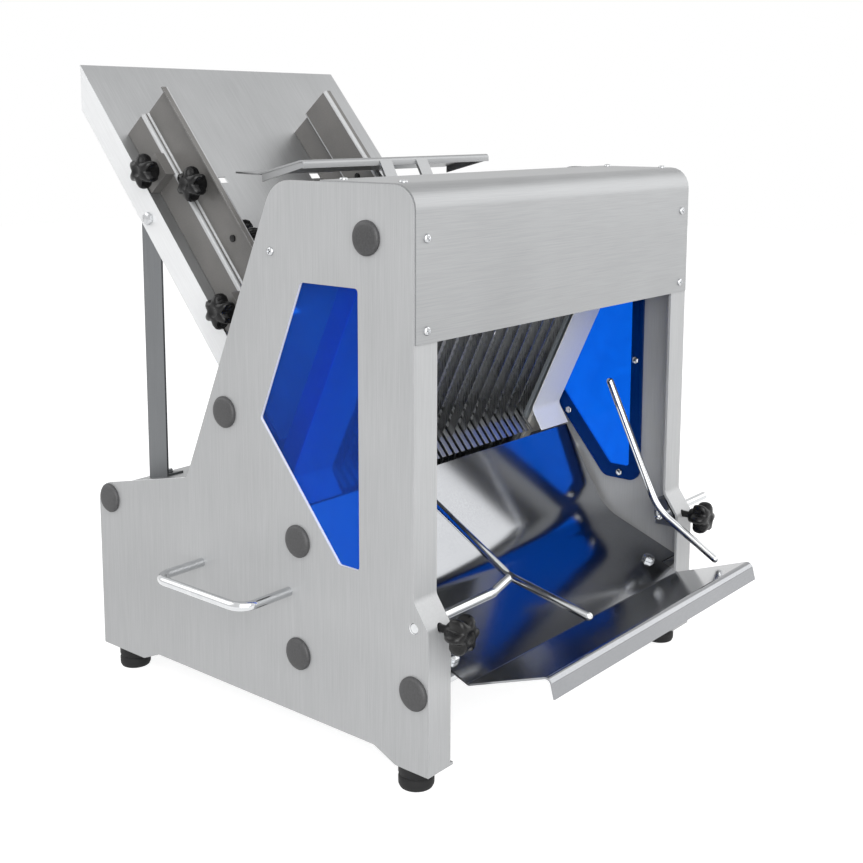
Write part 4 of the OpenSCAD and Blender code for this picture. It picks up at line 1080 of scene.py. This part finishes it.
@dataclass
class StarKnob:
    """A lobed knob with its hub and stud, set where its CAD node is."""

    node: str
    head_d_mm: float = 40.0
    head_h_mm: float = 18.0
    hub_d_mm: float = 18.0
    hub_h_mm: float = 8.0
    stud_d_mm: float = 8.0
    lobes: int = 6
    lobe_depth: float = 0.34
    dish: float = 0.04

    def build(self) -> bpy.types.Object:
        """Grows the knob on its axis.

        Returns:
            The knob.
        """
        axis = Vector(joint_of(body_of(self.node))["axis"])
        low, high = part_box(self.node)
        middle, reach = (low + high) / 2, high - low
        length = abs(reach.dot(axis))
        tall = (self.head_h_mm + self.hub_h_mm) * MM
        seat = middle + axis * (length / 2 - tall)
        share = self.hub_h_mm / (self.head_h_mm + self.hub_h_mm)
        rings = ((0, 0.95), (0.2, 0.95), (0.27, 0.985), (0.34, 1), (0.55, 0.985),
                 (0.78, 0.93), (0.93, 0.83), (0.995, 0.68), (1, 0.55), (0.97, 0.42),
                 (0.88, share), (0.46, share - self.dish), (0, share - self.dish))
        lobe_shares = (0, 0, 0, 0.1, 0.45, 0.85, 1, 1, 1, 1, 0.9, 0, 0)
        head = TurnedForm("Head", self.head_d_mm * MM, tall, rings, 72, self.lobes,
                          self.lobe_depth, lobe_shares)
        hub = TurnedForm("Hub", self.hub_d_mm * MM, self.hub_h_mm * MM, (
            (0, 1.1), (1, 1.1), (1, 0.2), (0.94, 0), (0, 0)), steps=32)
        stud = TurnedForm("Stud", self.stud_d_mm * MM, length - tall, (
            (0, 0.2), (1, 0.2), (1, -0.94), (0.8, -1), (0, -1)), steps=20)
        tree = turned_tree(f"star_{self.node}", [head, hub, stud])
        mesh = tree.grow(spot_mesh([Spot(seat, axis)]), KNOB_PLASTIC)
        return placed(f"{self.node}_star", mesh, KNOB_PLASTIC, [self.node])


@dataclass
class Hopper:
    """Sloping chute with its comb, struts, loaf guides, shoes and knobs."""

    sheet_edge_mm: float = 0.6
    comb_edge_mm: float = 0.4
    guide_edge_mm: float = 0.6
    worn_mm: float = 1.5
    bolt_w_mm: float = 13.0
    bolt_h_mm: float = 5.0
    shank_d_mm: float = 8.0
    shank_l_mm: float = 5.0

    def build(self) -> list[bpy.types.Object]:
        """Builds and dresses the hopper.

        Returns:
            Its pieces.
        """
        made = [self.chute(), rounded("comb_plate", CHUTE_STEEL, self.comb_edge_mm),
                refinished("hopper_struts", STRUT_STEEL), self.bolts()]
        for side in Side:
            made.append(self.guide(side))
            made.append(rounded(f"{side.word}_guide_shoes", GUIDE_PAINT, self.guide_edge_mm))
            made += [StarKnob(f"{side.word}_{place}_knob").build()
                     for place in ("upper_shoe", "lower_shoe", "outer", "inner")]
        return made

    def chute(self) -> bpy.types.Object:
        """Dresses the chute, with a painted highlight on the flanges that face sideways.

        Returns:
            The chute.
        """
        piece = rounded("hopper_chute", CHUTE_STEEL, self.sheet_edge_mm)
        piece.data.materials.append(FLANGE_HIGHLIGHT.material())
        # Faces that look sideways get the lighter copy of the steel: a painted highlight.
        for face in piece.data.polygons:
            if abs(face.normal.x) > SIDEWAYS:
                face.material_index = 1
        return piece

    def guide(self, side: Side) -> bpy.types.Object:
        """Dresses one loaf guide, with a painted highlight on its narrow edges.

        Args:
            side: Side that it is on.

        Returns:
            The guide.
        """
        piece = rounded(f"{side.word}_loaf_guide", GUIDE_PAINT, self.guide_edge_mm)
        mesh = piece.data
        mesh.materials.append(GUIDE_EDGE_HIGHLIGHT.material())
        # Narrow faces, the edge strips and rounded folds, get the pale copy: a painted
        # highlight.
        for face in mesh.polygons:
            ends = [mesh.vertices[i].co for i in face.vertices]
            span = max((a - b).length for a, b in zip(ends, ends[1:] + ends[:1]))
            if face.area < self.worn_mm * MM * span:
                face.material_index = 1
        return piece

    def bolts(self) -> bpy.types.Object:
        """Grows the hexagon bolts of the chute, the struts and the tray.

        Returns:
            The bolts.
        """
        across = self.bolt_w_mm * MM * HEXAGON
        head = TurnedForm("Head", across, self.bolt_h_mm * MM, (
            (0, 1), (0.84, 1), (1, 0.84), (1, 0.06), (0.94, 0), (0, 0)), steps=6)
        shank = TurnedForm("Shank", self.shank_d_mm * MM, self.shank_l_mm * MM, (
            (0, 0.1), (1, 0.1), (1, -0.9), (0.85, -1), (0, -1)), steps=20)
        tree = turned_tree("hexagon_bolts", [head, shank])
        spots = head_spots("hex_bolts", self.bolt_h_mm * MM)
        return placed("hexagon_bolts", tree.grow(spot_mesh(spots), BRIGHT_STEEL),
                      BRIGHT_STEEL, ["hex_bolts"])


@dataclass
class BladeHead:
    """Blade frames, serrated blades and the rails that guide the frames.

    Each row of the section is a corner of a blade: its side of the width, its shares of the
    ground bevel and of the thickness, and its share of a tooth's depth. Points whose X agrees
    to snap_mm are of one blade.
    """

    frame_edge_mm: float = 1.0
    blade_t_mm: float = 0.8
    bevel_mm: float = 2.2
    tooth_mm: float = 9.0
    tooth_depth_mm: float = 1.6
    steps_per_tooth: int = 6
    snap_mm: float = 2.0
    section: tuple[tuple[float, float, float, float], ...] = (
        (-1, 0, -0.5, 0), (1, 1, -0.5, 0.4), (1, 0, 0, 1), (1, 1, 0.5, 0.4), (-1, 0, 0.5, 0),
        (-1, 0, -0.5, 0))

    def build(self) -> list[bpy.types.Object]:
        """Builds and dresses the blade head.

        Returns:
            Its pieces.
        """
        made = [rounded("frame_rails", RAIL_NYLON, self.frame_edge_mm)]
        for place in ("front", "rear"):
            made.append(rounded(f"{place}_blade_frame", FRAME_PAINT, self.frame_edge_mm))
            made.append(self.blades(place))
        return made

    def blades(self, place: str) -> bpy.types.Object:
        """Grows one frame's serrated blades.

        Args:
            place: Which frame, front or rear.

        Returns:
            The blades.
        """
        node = f"{place}_blades"
        up = Vector(joint_of(body_of(node))["axis"])
        back = Vector((0, up.z, -up.y))
        points = [v.co for v in frame["nodes"][node].data.vertices]
        count = len({round(p.x / (self.snap_mm * MM)) for p in points})
        ends = [(min(p.dot(d) for p in points), max(p.dot(d) for p in points))
                for d in (back, up)]
        width, length = (last - first for first, last in ends)
        low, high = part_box(node)
        start = low.x + self.blade_t_mm * MM / 2
        pitch = (high.x - low.x - self.blade_t_mm * MM) / (count - 1)
        tree = self.tree(count, pitch, width, length)
        mesh = tree.grow(path_mesh([Vector((0, 0, 0))]), BLADE_STEEL)
        origin = (back * sum(ends[0]) + up * sum(ends[1])) / 2 + Vector((start, 0, 0))
        turn = Matrix((Vector((1, 0, 0)), back, up)).transposed().to_4x4()
        mesh.transform(Matrix.Translation(origin) @ turn)
        return placed(f"{node}_serrated", mesh, BLADE_STEEL, [node])

    def tree(self, count: int, pitch: float, width: float, length: float) -> Tree:
        """Makes the tree of a row of blades.

        Args:
            count: Number of blades.
            pitch: Distance from blade to blade, in metres.
            width: Width of a blade.
            length: Length of a blade.

        Returns:
            The tree: blades upright along Z, their teeth to +Y, in a row along X.
        """
        tree = Tree("serrated_blades", {
            "Count": ("Int", count), "Pitch": ("Float", pitch), "Width": ("Float", width),
            "Length": ("Float", length), "Thickness": ("Float", self.blade_t_mm * MM),
            "Bevel": ("Float", self.bevel_mm * MM), "Tooth": ("Float", self.tooth_mm * MM),
            "Tooth depth": ("Float", self.tooth_depth_mm * MM),
            "Finish": ("Material", None)})
        sides, bevels, depths, bites = zip(*self.section)
        rows = len(self.section)
        along = max(2, round(length / (self.tooth_mm * MM))) * self.steps_per_tooth + 1
        grid = tree.add("GeometryNodeMeshGrid", inputs={
            "Vertices X": along, "Vertices Y": rows})
        index = tree.out("GeometryNodeInputIndex")
        row = tree.out(MATH, REST, {0: index, 1: rows})
        step = tree.out(MATH, FLOOR, {0: tree.out(MATH, OVER, {0: index, 1: rows})})
        share = tree.out(MATH, OVER, {0: step, 1: along - 1})
        rise = tree.out(MATH, TIMES, {
            0: tree.out(MATH, MINUS, {0: share, 1: 0.5}), 1: tree.given("Length")})
        turn = tree.out(MATH, OVER, {
            0: tree.out(MATH, TIMES, {0: rise, 1: math.pi}), 1: tree.given("Tooth")})
        wave = tree.out(MATH, SIZE, {0: tree.out(MATH, SINE, {0: turn})})
        tooth = tree.out(MATH, TIMES, {0: wave, 1: tree.given("Tooth depth")})
        bite = tree.out(MATH, TIMES, {0: tooth, 1: tree.table(bites, row)})
        half = tree.out(MATH, TIMES, {0: tree.given("Width"), 1: 0.5})
        side = tree.out(MATH, TIMES, {0: tree.table(sides, row), 1: half})
        ground = tree.out(MATH, TIMES, {0: tree.table(bevels, row), 1: tree.given("Bevel")})
        flank = tree.out(MATH, MINUS, {0: side, 1: ground})
        thick = tree.out(MATH, TIMES, {
            0: tree.table(depths, row), 1: tree.given("Thickness")})
        spot = tree.out("ShaderNodeCombineXYZ", inputs={
            "X": thick, "Y": tree.out(MATH, MINUS, {0: flank, 1: bite}), "Z": rise})
        blade = tree.out("GeometryNodeSetPosition", inputs={
            "Geometry": grid.outputs["Mesh"], "Position": spot})
        pace = tree.out("ShaderNodeCombineXYZ", inputs={"X": tree.given("Pitch")})
        line = tree.out("GeometryNodeMeshLine", inputs={
            "Count": tree.given("Count"), "Offset": pace})
        tree.finish(tree.out("GeometryNodeInstanceOnPoints", inputs={
            "Points": line, "Instance": blade}))
        return tree


@dataclass
class Drive:
    """Crank, connecting rods, belt, pulleys and motor inside the base."""

    cast_edge_mm: float = 1.5
    turned_edge_mm: float = 0.5

    def build(self) -> list[bpy.types.Object]:
        """Dresses the drive.

        Returns:
            Its pieces.
        """
        made = [rounded(n, FRAME_PAINT, self.cast_edge_mm)
                for n in ("motor_body", "bearing_blocks")]
        made += [rounded(n, MACHINED_STEEL, self.turned_edge_mm)
                 for n in ("crankshaft", "front_connecting_rods", "rear_connecting_rods",
                           "crank_pulley", "motor_pulley")]
        made.append(refinished("drive_belt", FOOT_RUBBER))
        return made


@dataclass
class Discharge:
    """Slide, catch tray and the guards beside the blades."""

    sheet_edge_mm: float = 0.5

    def build(self) -> list[bpy.types.Object]:
        """Dresses the way out.

        Returns:
            Its pieces.
        """
        return [rounded("discharge_slide", SLIDE_STEEL, self.sheet_edge_mm),
                rounded("catch_tray", SLIDE_STEEL, self.sheet_edge_mm),
                rounded("blade_guards", GUARD_STEEL, self.sheet_edge_mm)]


@dataclass(frozen=True)
class GuideShape:
    """One bent slice guide, its angles in degrees and its lengths in millimetres.

    The collar's face and the root of the arm are measured from the guide along its stem.
    """

    side: Side
    rise: float
    bend: float
    down_l: float
    collar: float
    root: float
    root_lift: float


@dataclass
class SliceGuides:
    """Stems, bent guide rods, clamp blocks and clamp knobs in front of the tray."""

    rod_d_mm: float = 9.0
    up_l_mm: float = 166.0
    lift_mm: float = 9.0
    bend_r_mm: float = 60.0
    collar_d_mm: float = 10.0
    collar_l_mm: float = 14.0
    block_edge_mm: float = 0.8
    stem_edge_mm: float = 0.6
    shapes: tuple[GuideShape, ...] = (
        GuideShape(Side.LEFT, 30.0, 19.0, 98.0, 39.0, 29.0, 0.5),
        GuideShape(Side.RIGHT, 64.5, 34.5, 90.0, 12.0, 1.0, 3.0))

    def build(self) -> list[bpy.types.Object]:
        """Builds and dresses the slice guides.

        Returns:
            Their pieces.
        """
        made = [rounded("clamp_blocks", MACHINED_STEEL, self.block_edge_mm)]
        for shape in self.shapes:
            word = shape.side.word
            made.append(rounded(f"{word}_stem", CHROME, self.stem_edge_mm))
            made.append(self.rod(shape))
            made.append(StarKnob(f"{word}_clamp_knob").build())
        return made

    def rod(self, shape: GuideShape) -> bpy.types.Object:
        """Bends one guide rod, its arm and its bored collar.

        Args:
            shape: Bends and lengths of the guide.

        Returns:
            The guide.
        """
        node = f"{shape.side.word}_slice_rod"
        pivot = Vector(joint_of(body_of(node))["pos_m"])
        outward = Vector((shape.side.value * MM, 0, 0))
        rise = Vector((0, 0, MM))
        elbow = pivot + rise * self.lift_mm
        tips = []
        for angle, length in ((shape.rise, self.up_l_mm),
                              (shape.rise - shape.bend + 180, shape.down_l)):
            turn = math.radians(angle)
            way = Vector((0, math.cos(turn), math.sin(turn)))
            tips.append(Spot(elbow + way * length * MM, way))
        root = pivot + outward * shape.root + rise * shape.root_lift
        bar = bent_bar_tree(self.rod_d_mm * MM, self.bend_r_mm * MM)
        dome = TurnedForm("Tip", self.rod_d_mm * MM, self.rod_d_mm * MM / 2, (
            (0, 1), (0.38, 0.92), (0.71, 0.71), (0.92, 0.38), (1, 0), (0, 0)), steps=24)
        face = Spot(pivot + outward * shape.collar, -outward)
        mesh = joined([
            bar.grow(path_mesh([tips[0].place, elbow, tips[1].place]), CHROME),
            bar.grow(path_mesh([root, elbow]), CHROME),
            turned_tree("rod_tips", [dome]).grow(spot_mesh(tips), CHROME),
            turned_tree("rod_collar", [self.collar()]).grow(spot_mesh([face]), CHROME)])
        return placed(f"{node}_bent", mesh, CHROME, [node])

    def collar(self) -> TurnedForm:
        """Returns the collar's form: bored for the stem's spigot and domed at its end."""
        return TurnedForm("Collar", self.collar_d_mm * MM, self.collar_l_mm * MM, (
            (0, 0.571), (0.51, 0.571), (0.51, 0), (0.92, 0), (1, 0.03), (1, 0.643),
            (0.924, 0.78), (0.707, 0.895), (0.383, 0.973), (0, 1)), steps=32)


@dataclass
class Pusher:
    """The flap that rests on the last loaf, and its pivot rod."""

    sheet_edge_mm: float = 0.5

    def build(self) -> list[bpy.types.Object]:
        """Dresses the pusher.

        Returns:
            Its pieces.
        """
        return [rounded("pusher_flap", HOOD_STEEL, self.sheet_edge_mm),
                refinished("pusher_rod", CHROME)]


@dataclass
class Controls:
    """Switch block, push buttons and cable gland on the far sides."""

    edge_mm: float = 1.0
    edge_steps: int = 3
    button_edge_mm: float = 2.0
    button_steps: int = 4

    def build(self) -> list[bpy.types.Object]:
        """Dresses the controls.

        Returns:
            Their pieces.
        """
        return [rounded("switch_body", SWITCH_PLASTIC, self.edge_mm, self.edge_steps),
                rounded("cable_gland", SWITCH_PLASTIC, self.edge_mm, self.edge_steps),
                rounded("start_button", GREEN_PLASTIC, self.button_edge_mm, self.button_steps),
                rounded("stop_button", RED_PLASTIC, self.button_edge_mm, self.button_steps)]


def backdrop_rays(tree: bpy.types.NodeTree) -> bpy.types.NodeSocket:
    """Marks the rays that see the backdrop: straight, in metal or through a pane.

    Args:
        tree: Tree of the floor or of the world.

    Returns:
        Socket that is one for such a ray and else zero.
    """
    ray = add_node(tree, "ShaderNodeLightPath").outputs
    first = add_node(tree, "ShaderNodeMath", {"operation": "MAXIMUM"}, {
        0: ray["Is Camera Ray"], 1: ray["Is Glossy Ray"]})
    return add_node(tree, "ShaderNodeMath", {"operation": "MAXIMUM"}, {
        0: first.outputs[0], 1: ray["Is Transmission Ray"]}).outputs[0]


@dataclass(frozen=True)
class Softbox:
    """A soft lamp: its place and the width of its face in metres, its power in watts."""

    name: str
    place: tuple[float, float, float]
    size: float
    power: float


@dataclass
class Studio:
    """Pale floor, white backdrop, soft lamps and the camera."""

    eye: tuple[float, float, float] = (-1.1419, -0.967, 0.6488)
    azimuth_deg: float = 49.66
    pitch_deg: float = -8.5
    lens_mm: float = 53.64
    shift: tuple[float, float] = (0.0205, -0.1388)
    floor_half: float = 6.0
    floor_grey: str = "#B4B4B4"
    floor_glow: float = 0.86
    backdrop: str = "#FFFFFF"
    ambient: float = 0.55
    aim: tuple[float, float, float] = (0.0, 0.0, 0.35)
    lamps: tuple[Softbox, ...] = (
        Softbox("key_softbox", (-1.6, -2.4, 2.6), 3.2, 70.0),
        Softbox("fill_softbox", (2.4, -1.8, 1.6), 2.6, 28.0),
        Softbox("front_softbox", (-2.0, -2.3, 0.75), 2.2, 50.0),
        Softbox("rim_softbox", (-1.8, 2.2, 2.4), 2.6, 30.0))

    def build(self) -> None:
        """Builds the camera, the floor, the world and the lamps."""
        self.camera()
        self.floor()
        self.world()
        for box in self.lamps:
            self.hang(box)

    def camera(self) -> None:
        """Sets the camera where the photograph was taken, tilted to keep its shift small."""
        turn, tilt = math.radians(self.azimuth_deg), math.radians(self.pitch_deg)
        way = Vector((math.sin(turn) * math.cos(tilt), math.cos(turn) * math.cos(tilt),
                      math.sin(tilt)))
        lens = bpy.data.cameras.new("camera")
        lens.lens, lens.sensor_width = self.lens_mm, SENSOR_MM
        lens.shift_x, lens.shift_y = self.shift
        eye = bpy.data.objects.new("camera", lens)
        eye.location = self.eye
        eye.rotation_euler = way.to_track_quat("-Z", "Y").to_euler()
        bpy.context.scene.collection.objects.link(eye)
        bpy.context.scene.camera = eye

    def floor(self) -> None:
        """Lays a pale floor that keeps the shadow and is white to the camera."""
        half = self.floor_half
        mesh = bpy.data.meshes.new("floor")
        mesh.from_pydata([(-half, -half, 0), (half, -half, 0), (half, half, 0),
                          (-half, half, 0)], [], [(0, 1, 2, 3)])
        material = bpy.data.materials.new("studio_floor_pale")
        material.use_nodes = True
        tree = material.node_tree
        tree.nodes.clear()
        matte = add_node(tree, "ShaderNodeBsdfDiffuse", inputs={
            "Color": linear(self.floor_grey)})
        glow = add_node(tree, "ShaderNodeEmission", inputs={
            "Color": linear(self.backdrop), "Strength": self.floor_glow})
        lit = add_node(tree, "ShaderNodeAddShader", inputs={
            0: matte.outputs[0], 1: glow.outputs[0]})
        mixed = add_node(tree, "ShaderNodeMixShader", inputs={
            0: backdrop_rays(tree), 1: matte.outputs[0], 2: lit.outputs[0]})
        add_node(tree, "ShaderNodeOutputMaterial", inputs={"Surface": mixed.outputs[0]})
        mesh.materials.append(material)
        floor = bpy.data.objects.new("floor", mesh)
        bpy.context.scene.collection.objects.link(floor)

    def world(self) -> None:
        """Makes the backdrop white to the camera, to metal and to the panes."""
        world = bpy.data.worlds.new("studio")
        world.use_nodes = True
        bpy.context.scene.world = world
        tree = world.node_tree
        tree.nodes.clear()
        level = add_node(tree, "ShaderNodeMapRange", inputs={
            "Value": backdrop_rays(tree), "To Min": self.ambient, "To Max": 1.0})
        sky = add_node(tree, "ShaderNodeBackground", inputs={
            "Color": linear(self.backdrop), "Strength": level.outputs["Result"]})
        add_node(tree, "ShaderNodeOutputWorld", inputs={"Surface": sky.outputs[0]})

    def hang(self, box: Softbox) -> None:
        """Hangs one softbox that faces the middle of the machine.

        Args:
            box: The lamp.
        """
        light = bpy.data.lights.new(box.name, "AREA")
        light.size, light.energy = box.size, box.power
        lamp = bpy.data.objects.new(box.name, light)
        lamp.location = box.place
        way = Vector(self.aim) - Vector(box.place)
        lamp.rotation_euler = way.to_track_quat("-Z", "Y").to_euler()
        bpy.context.scene.collection.objects.link(lamp)


def main() -> None:
    """Builds the studio and the machine."""
    logging.basicConfig(level=logging.INFO, format="%(name)s: %(message)s")
    bpy.context.scene.view_settings.view_transform = "Standard"
    Studio().build()
    for assembly in (Cabinet(), Windows(), Hopper(), Pusher(), BladeHead(), Drive(),
                     Discharge(), SliceGuides(), Controls()):
        for piece in assembly.build():
            LOG.info("%s: %s on %s, %d faces", type(assembly).__name__, piece.name,
                     piece["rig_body"], len(piece.data.polygons))


if __name__ == "__main__":
    main()
